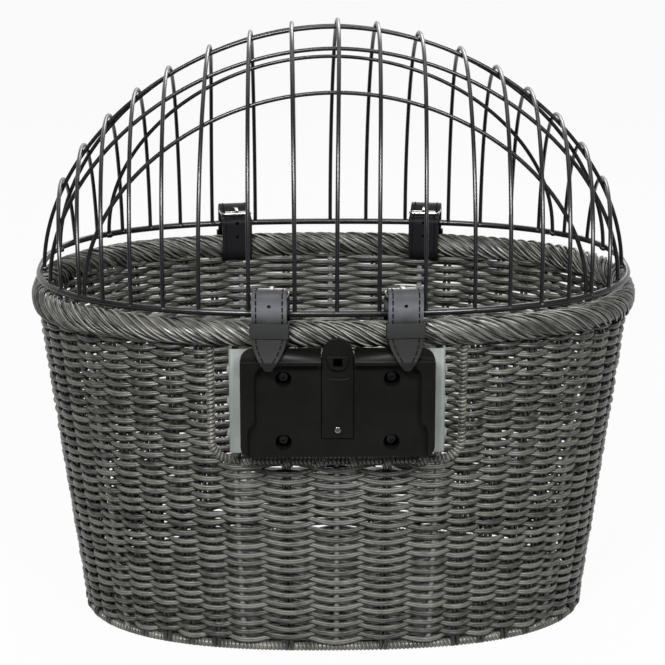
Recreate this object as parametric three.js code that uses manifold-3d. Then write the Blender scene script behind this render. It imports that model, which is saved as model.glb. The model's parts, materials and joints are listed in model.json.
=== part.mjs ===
// Bicycle basket for the handlebar: a woven oval tub with a wire dome lid, belt straps and an adapter plate.
// Millimetres, +Z up. The origin is on the ground under the middle of the tub.
// The rider's side, with the adapter plate, is near (-Y); the lid hinges on the far side (+Y).

import * as THREE from 'three';
import { mergeVertices } from 'three/addons/utils/BufferGeometryUtils.js';
import Module from 'manifold-3d';

const wasm = await Module();
wasm.setup();

// Clearance between touching pieces
const GAP = 0.3;

// Tub: rim border, tapered wall, base and foot ring
const RIM_HALF_WIDTH = 230;
const RIM_HALF_DEPTH = 158;
const RIM_HEIGHT = 256;
const RIM_RADIUS = 10;
const RIM_POWER = 2.4;
const FOOT_HALF_WIDTH = 197;
const FOOT_HALF_DEPTH = 130.5;
const FOOT_RADIUS = 3.6;
const FOOT_POWER = 2.5;
const WALL_THICKNESS = 8;
const WALL_TOP_INSET = 2.5;
const BASE_THICKNESS = 5;

// Weave: thick where the weavers pass round a stake, thin where they cross between two stakes
const STAKE_SPACING = 21.5;
const FLOOR_STAKE_SPACING = 26;
const CROSSING_THICKNESS = 2.4;
const RIDGE_SHARE = 0.4;

// Window in the near wall
const WINDOW_HALF_WIDTH = 90.5;
const WINDOW_DROP = 96;
const WINDOW_CORNER = 14;
const BORDER_RADIUS = 3;

// Steel bracket and the posts that carry it
const POST_SPACING = 148;
const POST_RADIUS = 2.5;
const SHEET_THICKNESS = 1.8;
const BRACKET_FRONT = 157.6;
const BRACKET_HEIGHT = 75;
const BEND_RADIUS = 3;
const WELD_NUT_RADIUS = 4.5;
const WELD_NUT_LENGTH = 5;

// Adapter plate
const PLATE_WIDTH = 140;
const PLATE_HEIGHT = 81;
const PLATE_TOP_DROP = 7;
const PLATE_FLOOR_DEPTH = 15.6;
const LIP_DEPTH = 6;
const LIP_THICKNESS = 2.4;
const LIP_WIDTH = 10;
const LIP_UNDERCUT = 3.4;
const TOP_WALL_HEIGHT = 11;
const TOP_WALL_BACK = 13.1;
const TOP_SLOPE_DEPTH = 7.5;
const TOP_SLOPE_HEIGHT = 8.5;
const MOUTH_FLARE = 5;
const MOUTH_HEIGHT = 20;
const FLARE_HEIGHT = 10;
const PLATE_CORNER = 9.5;
const SCREW_SPACING_X = 78;
const SCREW_SPACING_Z = 47.2;
const SCREW_TOP_DROP = 22.6;
const SCREW_SEAT = 4.2;
const RECESS_RADIUS = 6;
const SCREW_HEAD_RADIUS = 4.5;
const SCREW_HEAD_HEIGHT = 3;
const SCREW_RADIUS = 2.5;
const SCREW_CROWN_HEIGHT = 0.35;
const SCREW_CROWN_RADIUS = 0.6;

// Release tongue
const TONGUE_WIDTH = 22.7;
const TONGUE_THICKNESS = 3;
const TONGUE_BOTTOM_DROP = 66.5;
const TONGUE_SIDE_GAP = 0.6;
const TONGUE_PROUD = 1.3;
const TAB_RADIUS = 11;
const TAB_RISE = 8;
const PIVOT_DROP = 55;
const TRAVEL_ROOM = 4;
const CATCH_SIZE = 6.6;
const CATCH_DROP = 9.8;
const LEDGE_HALF_WIDTH = 7.9;
const LEDGE_DROP = 15.3;
const LEDGE_PROUD = 2.5;
const TONGUE_SCREW_DROP = 59.8;
const TONGUE_SCREW_RADIUS = 1.3;
const TONGUE_SCREW_HEAD_RADIUS = 2.5;
const TONGUE_SCREW_HEAD_HEIGHT = 1.8;
const TONGUE_SCREW_LENGTH = 9;
const TONGUE_PLAY = 0.6;

// Lid of welded wire
const LID_HALF_WIDTH = 229.7;
const LID_HALF_DEPTH = 153;
const LID_POWER = 2.5;
const LID_ABOVE_RIM = 13.6;
const LID_TILT = THREE.MathUtils.degToRad(1.31);
const LID_RISE = 191;
const LID_RISE_POWER = 1.88;
const HOOP_POWER = 2.15;
const LID_RING_RADIUS = 2.5;
const HOOP_RADIUS = 1.6;
const MIDDLE_BAY = 30.6;
const HOOPS_TO_END = 5;
const LAST_HOOP_ANGLE = THREE.MathUtils.degToRad(63.4);
const ARCH_RADIUS = 1.6;
const LOWER_ARCH_OFFSET = 95;
const UPPER_ARCH_OFFSET = 50;
const ARCH_FLARE = 0.2;

// Belt straps, keepers and roller buckles
const STRAP_WIDTH = 23.2;
const STRAP_THICKNESS = 2;
const STRAP_LAYER_GAP = 0.4;
const TAIL_DROP = 25;
const TIP_LENGTH = 20;
const TIP_POWER = 1.8;
const TIP_HALF_WIDTH = 2.5;
const KEEPER_THICKNESS = 1;
const KEEPER_HEIGHT = 11;
const KEEPER_BOTTOM = 0.2;
const BUCKLE_HEIGHT = 29;
const BUCKLE_LENGTH = 19.1;
const BUCKLE_WIRE_RADIUS = 1.2;
const BUCKLE_CORNER = 2.5;
const ROLLER_RADIUS = 2.4;
const PRONG_WIDTH = 3;
const PRONG_THICKNESS = 1.6;
const PRONG_OVERHANG = 2.4;
const PRONG_SLOT_LENGTH = 11;
const FAR_STRAP_NOTCH = 0.5;
const HOOP_CLEARANCE = 0.7;
const SWING_ROOM = 2.8;

// Facets
const OVAL_STEPS = 48;
const OVAL_SAMPLES = 960;
const LID_RING_STEPS = 56;
const HOOP_STEPS = 16;
const ARCH_STEPS = 20;
const WIRE_SIDES = 6;
const ROUND_SIDES = 8;
const SCREW_SIDES = 10;
const RECESS_SIDES = 16;
const BORDER_STEPS = 28;
const BORDER_SAMPLES = 160;
const CORNER_STEPS = 3;
const STRAP_STEPS = 4;
const TIP_STEPS = 3;

// Finishes
const FINISHES = {
  cane: { color: 0x4a4b47, roughness: 0.55, metalness: 0 },
  paleSteel: { color: 0x97a097, roughness: 0.5, metalness: 0.1 },
  blackWire: { color: 0x141414, roughness: 0.3, metalness: 0.1 },
  blackPlastic: { color: 0x1d1c1b, roughness: 0.5, metalness: 0 },
  strap: { color: 0x2a2a2d, roughness: 0.55, metalness: 0 },
  nickel: { color: 0x9a9a98, roughness: 0.25, metalness: 1 },
  zinc: { color: 0xb4b6b8, roughness: 0.35, metalness: 1 },
};

const basket = new THREE.Group();

function addPiece(parent, name, geometry, finish) {
  const mesh = new THREE.Mesh(geometry, new THREE.MeshStandardMaterial(FINISHES[finish]));
  mesh.name = name;
  parent.add(mesh);
  return mesh;
}

// Solids for joining and cutting
function solidOf(geometry) {
  const bare = geometry.clone();
  bare.deleteAttribute('normal');
  bare.deleteAttribute('uv');
  const merged = mergeVertices(bare, 1e-4);
  return new wasm.Manifold(new wasm.Mesh({
    numProp: 3,
    vertProperties: new Float32Array(merged.attributes.position.array),
    triVerts: new Uint32Array(merged.index.array),
  }));
}

function geometryOf(solid) {
  const mesh = solid.getMesh();
  const geometry = new THREE.BufferGeometry();
  geometry.setAttribute('position', new THREE.BufferAttribute(mesh.vertProperties, 3));
  geometry.setIndex(new THREE.BufferAttribute(mesh.triVerts, 1));
  return geometry;
}

function cut(geometry, tools) {
  let solid = solidOf(geometry);
  for (const tool of tools) {
    solid = solid.subtract(solidOf(tool));
  }
  return geometryOf(solid);
}

function join(geometries) {
  let solid = solidOf(geometries[0]);
  for (const other of geometries.slice(1)) {
    solid = solid.add(solidOf(other));
  }
  return geometryOf(solid);
}

// A skin over a row of sections that all have the same number of points
function loft(sections, closed) {
  const size = sections[0].length;
  const positions = sections.flat().flatMap((point) => [point.x, point.y, point.z]);
  const triangles = [];
  const spans = closed ? sections.length : sections.length - 1;
  for (let i = 0; i < spans; i++) {
    const here = i * size;
    const next = ((i + 1) % sections.length) * size;
    for (let j = 0; j < size; j++) {
      const k = (j + 1) % size;
      triangles.push(here + j, next + j, next + k, here + j, next + k, here + k);
    }
  }
  if (!closed) {
    const last = (sections.length - 1) * size;
    for (let j = 1; j < size - 1; j++) {
      triangles.push(0, j, j + 1, last, last + j + 1, last + j);
    }
  }
  const geometry = new THREE.BufferGeometry();
  geometry.setAttribute('position', new THREE.Float32BufferAttribute(positions, 3));
  geometry.setIndex(signedVolume(positions, triangles) < 0 ? triangles.reverse() : triangles);
  return geometry;
}

function signedVolume(positions, triangles) {
  const corner = (index) => new THREE.Vector3().fromArray(positions, 3 * index);
  let volume = 0;
  for (let i = 0; i < triangles.length; i += 3) {
    const normal = corner(triangles[i + 1]).cross(corner(triangles[i + 2]));
    volume += corner(triangles[i]).dot(normal) / 6;
  }
  return volume;
}

// Ovals: superellipses in plan, from their half-axes and power
function ovalPoint(oval, angle) {
  const along = (value) => Math.sign(value) * Math.abs(value) ** (2 / oval.power);
  return new THREE.Vector2(oval.halfX * along(Math.cos(angle)), oval.halfY * along(Math.sin(angle)));
}

function ovalAngle(oval, point) {
  const along = (value) => Math.sign(value) * Math.abs(value) ** (oval.power / 2);
  return Math.atan2(along(point.y / oval.halfY), along(point.x / oval.halfX));
}

function ovalDepth(oval, x) {
  return oval.halfY * Math.max(0, 1 - Math.abs(x / oval.halfX) ** oval.power) ** (1 / oval.power);
}

function ovalNormal(oval, x) {
  const y = ovalDepth(oval, x);
  const slope = (value, half) => Math.sign(value) * Math.abs(value / half) ** (oval.power - 1) / half;
  return new THREE.Vector2(slope(x, oval.halfX), slope(y, oval.halfY)).normalize();
}

function ovalPoints(oval, steps = OVAL_STEPS) {
  return Array.from({ length: steps }, (_, i) => ovalPoint(oval, (2 * Math.PI * i) / steps));
}

function polygon(radius, sides, turn = 0) {
  return Array.from({ length: sides }, (_, i) => {
    const angle = turn + (2 * Math.PI * i) / sides;
    return new THREE.Vector2(radius * Math.cos(angle), radius * Math.sin(angle));
  });
}

// A flat closed loop of bar: plan points at one height, and a section given as (outwards, up)
function planarLoop(points, height, section) {
  const sections = points.map((point, i) => {
    const before = points[(i + points.length - 1) % points.length];
    const after = points[(i + 1) % points.length];
    const outwards = new THREE.Vector2(after.y - before.y, before.x - after.x).normalize();
    return section.map((s) => new THREE.Vector3(
      point.x + s.x * outwards.x,
      point.y + s.x * outwards.y,
      height + s.y,
    ));
  });
  return loft(sections, true);
}

// A round bar along a smooth open path
function barAlong(points, radius, sides, steps) {
  const shape = new THREE.Shape(polygon(radius, sides));
  const extrudePath = new THREE.CatmullRomCurve3(points);
  return new THREE.ExtrudeGeometry(shape, { steps, extrudePath, bevelEnabled: false });
}

// A plate drawn in X and Z, from one depth towards the rider to another
function platePiece(shape, back, front) {
  const options = { depth: front - back, bevelEnabled: false, curveSegments: CORNER_STEPS };
  return new THREE.ExtrudeGeometry(shape, options).rotateX(Math.PI / 2).translate(0, -back, 0);
}

function roundedRectangle(left, right, bottom, top, radius) {
  const shape = new THREE.Shape();
  shape.moveTo(left + radius, bottom);
  shape.lineTo(right - radius, bottom);
  shape.absarc(right - radius, bottom + radius, radius, -Math.PI / 2, 0);
  shape.lineTo(right, top - radius);
  shape.absarc(right - radius, top - radius, radius, 0, Math.PI / 2);
  shape.lineTo(left + radius, top);
  shape.absarc(left + radius, top - radius, radius, Math.PI / 2, Math.PI);
  shape.lineTo(left, bottom + radius);
  shape.absarc(left + radius, bottom + radius, radius, Math.PI, 1.5 * Math.PI);
  return shape;
}

function rectangle(left, right, bottom, top) {
  const corners = [[left, bottom], [right, bottom], [right, top], [left, top]];
  return new THREE.Shape(corners.map(([x, y]) => new THREE.Vector2(x, y)));
}

function disc(x, z, radius, sides) {
  return new THREE.Shape(polygon(radius, sides).map((point) => new THREE.Vector2(x + point.x, z + point.y)));
}

// Tub
const rimOval = { halfX: RIM_HALF_WIDTH, halfY: RIM_HALF_DEPTH, power: RIM_POWER };
const footOval = { halfX: FOOT_HALF_WIDTH, halfY: FOOT_HALF_DEPTH, power: FOOT_POWER };
const footHeight = FOOT_RADIUS * Math.cos(Math.PI / ROUND_SIDES);
const wallBottom = 2 * footHeight + GAP;
const wallTop = RIM_HEIGHT - RIM_RADIUS - GAP;
const windowBottom = RIM_HEIGHT - WINDOW_DROP;
const plateTop = RIM_HEIGHT - PLATE_TOP_DROP;

function wallOval(height, offset) {
  const share = (height - wallBottom) / (wallTop - wallBottom);
  const mix = (low, high) => low + (high - low) * share;
  return {
    halfX: mix(FOOT_HALF_WIDTH, RIM_HALF_WIDTH - WALL_TOP_INSET) + offset,
    halfY: mix(FOOT_HALF_DEPTH, RIM_HALF_DEPTH - WALL_TOP_INSET) + offset,
    power: mix(FOOT_POWER, RIM_POWER),
  };
}

// A point in the middle of the near wall's thickness
function wallPoint(x, height) {
  return new THREE.Vector3(x, -ovalDepth(wallOval(height, 0), x), height);
}

function strapPlace(side, middle) {
  const inwards = LID_HALF_DEPTH - RIM_HALF_DEPTH;
  let x = middle;
  x -= inwards * ovalNormal(rimOval, x).x;
  const normal = ovalNormal(rimOval, x).multiply(new THREE.Vector2(1, side));
  return { x, y: side * ovalDepth(rimOval, x), turn: Math.atan2(-normal.x, normal.y), normal };
}

const buckleHalfWidth = STRAP_WIDTH / 2 + STRAP_LAYER_GAP + BUCKLE_WIRE_RADIUS;
const strapBay = 2 * (buckleHalfWidth + BUCKLE_WIRE_RADIUS + HOOP_RADIUS + HOOP_CLEARANCE);
const strapInner = RIM_RADIUS + GAP + KEEPER_THICKNESS + GAP;
const strapOuter = strapInner + STRAP_THICKNESS;
const nearStrapX = MIDDLE_BAY + strapBay / 2;
const farStrapX = nearStrapX + strapBay;
const straps = [
  { name: 'near_left', side: -1, middle: -nearStrapX },
  { name: 'near_right', side: -1, middle: nearStrapX },
  { name: 'far_left', side: 1, middle: -farStrapX },
  { name: 'far_right', side: 1, middle: farStrapX },
].map((strap) => ({ ...strap, ...strapPlace(strap.side, strap.middle) }));
const strapPassage = RIM_HEIGHT - strapOuter - FAR_STRAP_NOTCH;

function windowShape(grow) {
  const half = WINDOW_HALF_WIDTH + grow;
  const bottom = windowBottom - grow;
  const corner = WINDOW_CORNER + grow;
  const shape = new THREE.Shape();
  shape.moveTo(-half, RIM_HEIGHT);
  shape.lineTo(-half, bottom + corner);
  shape.absarc(-half + corner, bottom + corner, corner, Math.PI, 1.5 * Math.PI);
  shape.lineTo(half - corner, bottom);
  shape.absarc(half - corner, bottom + corner, corner, -Math.PI / 2, 0);
  shape.lineTo(half, RIM_HEIGHT);
  return shape;
}

// Distances of the stakes round the oval, from the middle of the near side: evenly between the posts,
// one beside the window, then evenly to the end of the oval, and alike in every quarter
function stakePlaces(length) {
  const quarter = length / 4;
  const front = [0, POST_SPACING / 4, POST_SPACING / 2, WINDOW_HALF_WIDTH + 2 * BORDER_RADIUS];
  const toEnd = quarter - front.at(-1);
  const count = Math.round(toEnd / STAKE_SPACING);
  const rest = Array.from({ length: count - 1 }, (_, i) => front.at(-1) + (toEnd * (i + 1)) / count);
  const row = [...front, ...rest];
  const half = [...row, quarter, ...row.slice(1).reverse().map((place) => 2 * quarter - place)];
  return [...half, ...half.map((place) => 2 * quarter + place)];
}

// Each bay between two stakes is drawn in by the crossing weavers at its middle
const BAY_SECTION = [
  [RIDGE_SHARE / 2, WALL_THICKNESS],
  [0.5, CROSSING_THICKNESS],
  [1 - RIDGE_SHARE / 2, WALL_THICKNESS],
];

function wallBays() {
  const oval = wallOval((wallBottom + wallTop) / 2, 0);
  const outline = new THREE.Path(Array.from({ length: OVAL_SAMPLES + 1 }, (_, i) => {
    return ovalPoint(oval, 2 * Math.PI * (i / OVAL_SAMPLES - 0.25));
  }));
  const length = outline.getLength();
  const places = stakePlaces(length);
  return places.flatMap((place, i) => {
    const bay = (places[i + 1] ?? length) - place;
    return BAY_SECTION.map(([share, thickness]) => {
      const point = outline.getPoint((place + share * bay) / length);
      return { angle: ovalAngle(oval, point), half: thickness / 2 };
    });
  });
}

function wickerWall() {
  const columns = wallBays().map(({ angle, half }) => {
    const corners = [[wallBottom, half], [wallTop, half], [wallTop, -half], [wallBottom, -half]];
    return corners.map(([height, offset]) => {
      const point = ovalPoint(wallOval(height, offset), angle);
      return new THREE.Vector3(point.x, point.y, height);
    });
  });
  const window = platePiece(windowShape(BORDER_RADIUS + GAP), FOOT_HALF_DEPTH / 2, 2 * RIM_HALF_DEPTH);
  const notches = straps.filter((strap) => strap.side > 0).map((strap) => {
    const width = STRAP_WIDTH + 2 * FAR_STRAP_NOTCH;
    const notch = new THREE.BoxGeometry(width, 4 * RIM_RADIUS, 2 * RIM_RADIUS);
    return notch.rotateZ(strap.turn).translate(strap.x, strap.y, strapPassage + RIM_RADIUS);
  });
  return cut(loft(columns, true), [window, ...notches]);
}

function wickerBase() {
  const inset = FOOT_RADIUS + GAP;
  const oval = { ...footOval, halfX: FOOT_HALF_WIDTH - inset, halfY: FOOT_HALF_DEPTH - inset };
  const shape = new THREE.Shape(ovalPoints(oval));
  const slab = new THREE.ExtrudeGeometry(shape, { depth: BASE_THICKNESS, bevelEnabled: false });
  const bays = Math.ceil(oval.halfX / FLOOR_STAKE_SPACING);
  const crossing = (BASE_THICKNESS + CROSSING_THICKNESS) / 2;
  const inner = FLOOR_STAKE_SPACING * RIDGE_SHARE / 2;
  const grooves = Array.from({ length: 2 * bays }, (_, i) => {
    const left = (i - bays) * FLOOR_STAKE_SPACING;
    const groove = new THREE.Shape([
      new THREE.Vector2(left + inner, BASE_THICKNESS),
      new THREE.Vector2(left + FLOOR_STAKE_SPACING / 2, crossing),
      new THREE.Vector2(left + FLOOR_STAKE_SPACING - inner, BASE_THICKNESS),
      new THREE.Vector2(left + FLOOR_STAKE_SPACING / 2, 2 * BASE_THICKNESS),
    ]);
    return platePiece(groove, -2 * oval.halfY, 2 * oval.halfY);
  });
  return cut(slab, grooves);
}

function windowBorder() {
  const outline = windowShape(0).getSpacedPoints(BORDER_SAMPLES);
  const points = outline.filter((point) => point.y <= wallTop);
  const ends = [points[0], points.at(-1)].map((point) => wallPoint(point.x, wallTop - GAP));
  const path = points.slice(1, -1).map((point) => wallPoint(point.x, point.y));
  return barAlong([ends[0], ...path, ends[1]], BORDER_RADIUS, ROUND_SIDES, BORDER_STEPS);
}

const flatBottom = Math.PI / ROUND_SIDES;
addPiece(basket, 'wicker_wall', wickerWall(), 'cane');
addPiece(basket, 'wicker_base', wickerBase(), 'cane');
const rimSection = polygon(RIM_RADIUS, ROUND_SIDES);
addPiece(basket, 'rim_border', planarLoop(ovalPoints(rimOval), RIM_HEIGHT, rimSection), 'cane');
const footSection = polygon(FOOT_RADIUS, ROUND_SIDES, flatBottom);
addPiece(basket, 'foot_ring', planarLoop(ovalPoints(footOval), footHeight, footSection), 'cane');
addPiece(basket, 'window_border', windowBorder(), 'cane');

// Bracket: a folded sheet whose side returns reach back to the posts
const bracketTop = Math.min(strapPassage, plateTop) - GAP;
const bracketBottom = bracketTop - BRACKET_HEIGHT;
const bracketHalf = POST_SPACING / 2 + POST_RADIUS + GAP + SHEET_THICKNESS;
const bracketBack = BRACKET_FRONT - SHEET_THICKNESS;
const screwTop = plateTop - SCREW_TOP_DROP;
const screwPlaces = [
  ['upper_left', -SCREW_SPACING_X / 2, screwTop],
  ['upper_right', SCREW_SPACING_X / 2, screwTop],
  ['lower_left', -SCREW_SPACING_X / 2, screwTop - SCREW_SPACING_Z],
  ['lower_right', SCREW_SPACING_X / 2, screwTop - SCREW_SPACING_Z],
];

function postLine(x) {
  const foot = windowBottom + BORDER_RADIUS + 2 * GAP;
  const head = wallTop - GAP;
  return [wallPoint(x, foot), wallPoint(x, head)];
}

function framePost(x) {
  return barAlong(postLine(x), POST_RADIUS, ROUND_SIDES, 1);
}

function bracket() {
  const channel = new THREE.Shape();
  const inner = bracketHalf - SHEET_THICKNESS;
  const bend = BEND_RADIUS - SHEET_THICKNESS;
  const back = -FOOT_HALF_DEPTH;
  channel.moveTo(-bracketHalf, back);
  const bendX = bracketHalf - BEND_RADIUS;
  const bendY = -BRACKET_FRONT + BEND_RADIUS;
  channel.lineTo(-bracketHalf, bendY);
  channel.absarc(-bendX, bendY, BEND_RADIUS, Math.PI, 1.5 * Math.PI);
  channel.lineTo(bendX, -BRACKET_FRONT);
  channel.absarc(bendX, bendY, BEND_RADIUS, -Math.PI / 2, 0);
  channel.lineTo(bracketHalf, back);
  channel.lineTo(inner, back);
  channel.lineTo(inner, -bracketBack + bend);
  channel.absarc(inner - bend, -bracketBack + bend, bend, 0, -Math.PI / 2, true);
  channel.lineTo(-inner + bend, -bracketBack);
  channel.absarc(-inner + bend, -bracketBack + bend, bend, -Math.PI / 2, -Math.PI, true);
  channel.lineTo(-inner, back);
  const options = { depth: BRACKET_HEIGHT, bevelEnabled: false, curveSegments: 2 };
  const folded = new THREE.ExtrudeGeometry(channel, options).translate(0, 0, bracketBottom);
  const [foot, head] = postLine(POST_SPACING / 2);
  const behind = (height) => {
    const share = (height - foot.z) / (head.z - foot.z);
    return foot.y + (head.y - foot.y) * share + POST_RADIUS;
  };
  const low = bracketBottom - GAP;
  const high = bracketTop + GAP;
  const trimShape = new THREE.Shape([
    new THREE.Vector2(behind(low), low),
    new THREE.Vector2(0, low),
    new THREE.Vector2(0, high),
    new THREE.Vector2(behind(high), high),
  ]);
  const trim = new THREE.ExtrudeGeometry(trimShape, { depth: 4 * bracketHalf, bevelEnabled: false });
  trim.rotateX(Math.PI / 2).rotateZ(Math.PI / 2).translate(-2 * bracketHalf, 0, 0);
  const nuts = screwPlaces.map(([, x, z]) => platePiece(
    disc(x, z, WELD_NUT_RADIUS, SCREW_SIDES),
    bracketBack - WELD_NUT_LENGTH,
    bracketBack + SHEET_THICKNESS / 2,
  ));
  const holes = screwPlaces.map(([, x, z]) => platePiece(
    disc(x, z, SCREW_RADIUS + GAP, SCREW_SIDES),
    bracketBack - 2 * WELD_NUT_LENGTH,
    BRACKET_FRONT + SHEET_THICKNESS,
  ));
  return cut(join([cut(folded, [trim]), ...nuts]), holes);
}

addPiece(basket, 'frame_post_left', framePost(-POST_SPACING / 2), 'paleSteel');
addPiece(basket, 'frame_post_right', framePost(POST_SPACING / 2), 'paleSteel');
addPiece(basket, 'steel_bracket', bracket(), 'paleSteel');

// Adapter plate: a floor with an open-bottomed frame of undercut lips, seated on the bracket
const plateBack = BRACKET_FRONT + GAP;
const plateFloor = plateBack + PLATE_FLOOR_DEPTH;
const plateFront = plateFloor + LIP_DEPTH;
const plateBottom = plateTop - PLATE_HEIGHT;
const plateHalf = PLATE_WIDTH / 2;
const screwSeat = plateBack + SCREW_SEAT;
const tongueFront = plateFloor + TONGUE_PROUD;
const tongueBack = tongueFront - TONGUE_THICKNESS;
const tongueHalf = TONGUE_WIDTH / 2;
const tongueScrewHeight = plateTop - TONGUE_SCREW_DROP;
const pivotHeight = plateTop - PIVOT_DROP;
const tongueBottom = plateTop - TONGUE_BOTTOM_DROP;

function adapterPlate() {
  const outline = roundedRectangle(-plateHalf, plateHalf, plateBottom, plateTop, PLATE_CORNER);
  const bodyTop = bracketTop - GAP;
  const body = platePiece(
    roundedRectangle(-plateHalf, plateHalf, plateBottom, bodyTop, PLATE_CORNER),
    plateBack,
    plateFloor,
  );
  const frame = platePiece(outline, plateBack + TOP_WALL_BACK, plateFront);
  const lipInner = plateHalf - LIP_WIDTH;
  const pocketTop = plateTop - TOP_WALL_HEIGHT;
  const mouthTop = plateBottom + MOUTH_HEIGHT;
  const flareTop = mouthTop + FLARE_HEIGHT;
  const flareMiddle = mouthTop + FLARE_HEIGHT / 2;
  const mouth = lipInner + MOUTH_FLARE;
  const below = plateBottom - 1;
  const bend = lipInner - PLATE_CORNER;
  const pocketShape = new THREE.Shape();
  pocketShape.moveTo(-mouth, below);
  pocketShape.lineTo(mouth, below);
  pocketShape.lineTo(mouth, mouthTop);
  pocketShape.bezierCurveTo(mouth, flareMiddle, lipInner, flareMiddle, lipInner, flareTop);
  pocketShape.lineTo(lipInner, pocketTop - PLATE_CORNER);
  pocketShape.absarc(bend, pocketTop - PLATE_CORNER, PLATE_CORNER, 0, Math.PI / 2);
  pocketShape.lineTo(-bend, pocketTop);
  pocketShape.absarc(-bend, pocketTop - PLATE_CORNER, PLATE_CORNER, Math.PI / 2, Math.PI);
  pocketShape.lineTo(-lipInner, flareTop);
  pocketShape.bezierCurveTo(-lipInner, flareMiddle, -mouth, flareMiddle, -mouth, mouthTop);
  const pocket = platePiece(pocketShape, plateFloor, plateFront + 1);
  const undercut = platePiece(
    rectangle(-lipInner - LIP_UNDERCUT, lipInner + LIP_UNDERCUT, below, pocketTop + LIP_UNDERCUT / 2),
    plateFloor,
    plateFront - LIP_THICKNESS,
  );
  const channelHalf = tongueHalf + TONGUE_SIDE_GAP;
  const channelBottom = tongueBottom - TONGUE_SIDE_GAP;
  const above = plateTop + 1;
  const channel = platePiece(
    rectangle(-channelHalf, channelHalf, channelBottom, above),
    tongueBack - GAP,
    plateFront + 1,
  );
  const travel = platePiece(
    rectangle(-channelHalf, channelHalf, pivotHeight, above),
    tongueBack - TRAVEL_ROOM,
    plateFront + 1,
  );
  const recesses = screwPlaces.flatMap(([, x, z]) => [
    platePiece(disc(x, z, RECESS_RADIUS, RECESS_SIDES), screwSeat, plateFloor + 1),
    platePiece(disc(x, z, SCREW_RADIUS + GAP, SCREW_SIDES), plateBack - 1, screwSeat + 1),
  ]);
  const pilot = platePiece(
    disc(0, tongueScrewHeight, TONGUE_SCREW_RADIUS + GAP, ROUND_SIDES),
    tongueFront + TONGUE_PLAY - TONGUE_SCREW_LENGTH - GAP,
    tongueFront,
  );
  const slopeShape = new THREE.Shape([
    [plateFront - 2 * TOP_SLOPE_DEPTH, plateTop + TOP_SLOPE_HEIGHT],
    [plateFront + TOP_SLOPE_DEPTH, plateTop + TOP_SLOPE_HEIGHT],
    [plateFront + TOP_SLOPE_DEPTH, plateTop - 2 * TOP_SLOPE_HEIGHT],
  ].map(([y, z]) => new THREE.Vector2(-y, z)));
  const slope = new THREE.ExtrudeGeometry(slopeShape, { depth: 2 * PLATE_WIDTH, bevelEnabled: false });
  slope.rotateX(Math.PI / 2).rotateZ(Math.PI / 2).translate(-PLATE_WIDTH, 0, 0);
  return cut(join([body, frame]), [pocket, undercut, channel, travel, ...recesses, pilot, slope]);
}

function releaseTongue() {
  const shape = new THREE.Shape();
  const tabCentre = plateTop + TAB_RISE - TAB_RADIUS;
  shape.moveTo(-tongueHalf, tongueBottom);
  shape.lineTo(tongueHalf, tongueBottom);
  shape.lineTo(tongueHalf, tabCentre);
  shape.lineTo(TAB_RADIUS, tabCentre);
  shape.absarc(0, tabCentre, TAB_RADIUS, 0, Math.PI);
  shape.lineTo(-tongueHalf, tabCentre);
  const blade = platePiece(shape, tongueBack, tongueFront);
  const ledgeBottom = plateTop - LEDGE_DROP;
  const ledgeTop = plateTop - CATCH_DROP + CATCH_SIZE / 2 + 1;
  const ledgeShape = new THREE.Shape();
  ledgeShape.moveTo(-LEDGE_HALF_WIDTH, ledgeTop);
  ledgeShape.quadraticCurveTo(-LEDGE_HALF_WIDTH, ledgeBottom, 0, ledgeBottom);
  ledgeShape.quadraticCurveTo(LEDGE_HALF_WIDTH, ledgeBottom, LEDGE_HALF_WIDTH, ledgeTop);
  const ledge = platePiece(ledgeShape, tongueBack + TONGUE_THICKNESS / 2, tongueFront + LEDGE_PROUD);
  const catchMiddle = plateTop - CATCH_DROP;
  const half = CATCH_SIZE / 2;
  const catchWindow = platePiece(
    rectangle(-half, half, catchMiddle - half, catchMiddle + half),
    tongueBack - 1,
    tongueFront + LEDGE_PROUD + 1,
  );
  const screwHole = platePiece(
    disc(0, tongueScrewHeight, TONGUE_SCREW_RADIUS + 2 * GAP, SCREW_SIDES),
    tongueBack - 1,
    tongueFront + 1,
  );
  return cut(join([blade, ledge]), [catchWindow, screwHole]);
}

// A domed screw along Y with its head towards the rider
function screw(x, z, seat, tip, sizes) {
  const crown = sizes.headHeight * SCREW_CROWN_HEIGHT;
  const profile = [
    [0, tip],
    [sizes.shankRadius, tip],
    [sizes.shankRadius, seat],
    [sizes.headRadius, seat],
    [sizes.headRadius, seat + sizes.headHeight - crown],
    [sizes.headRadius * SCREW_CROWN_RADIUS, seat + sizes.headHeight],
    [0, seat + sizes.headHeight],
  ].map(([radius, depth]) => new THREE.Vector2(radius, depth));
  return new THREE.LatheGeometry(profile, SCREW_SIDES).rotateX(Math.PI).translate(x, 0, z);
}

addPiece(basket, 'adapter_plate', adapterPlate(), 'blackPlastic');
addPiece(basket, 'release_tongue', releaseTongue(), 'blackPlastic');
const adapterScrew = {
  shankRadius: SCREW_RADIUS,
  headRadius: SCREW_HEAD_RADIUS,
  headHeight: SCREW_HEAD_HEIGHT,
};
for (const [place, x, z] of screwPlaces) {
  const geometry = screw(x, z, screwSeat + GAP, bracketBack - WELD_NUT_LENGTH - 1, adapterScrew);
  addPiece(basket, `adapter_screw_${place}`, geometry, 'zinc');
}
const smallScrew = {
  shankRadius: TONGUE_SCREW_RADIUS,
  headRadius: TONGUE_SCREW_HEAD_RADIUS,
  headHeight: TONGUE_SCREW_HEAD_HEIGHT,
};
const tongueScrewSeat = tongueFront + TONGUE_PLAY;
const tongueScrewTip = tongueScrewSeat - TONGUE_SCREW_LENGTH;
const tongueScrew = screw(0, tongueScrewHeight, tongueScrewSeat, tongueScrewTip, smallScrew);
addPiece(basket, 'tongue_screw', tongueScrew, 'zinc');

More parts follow.
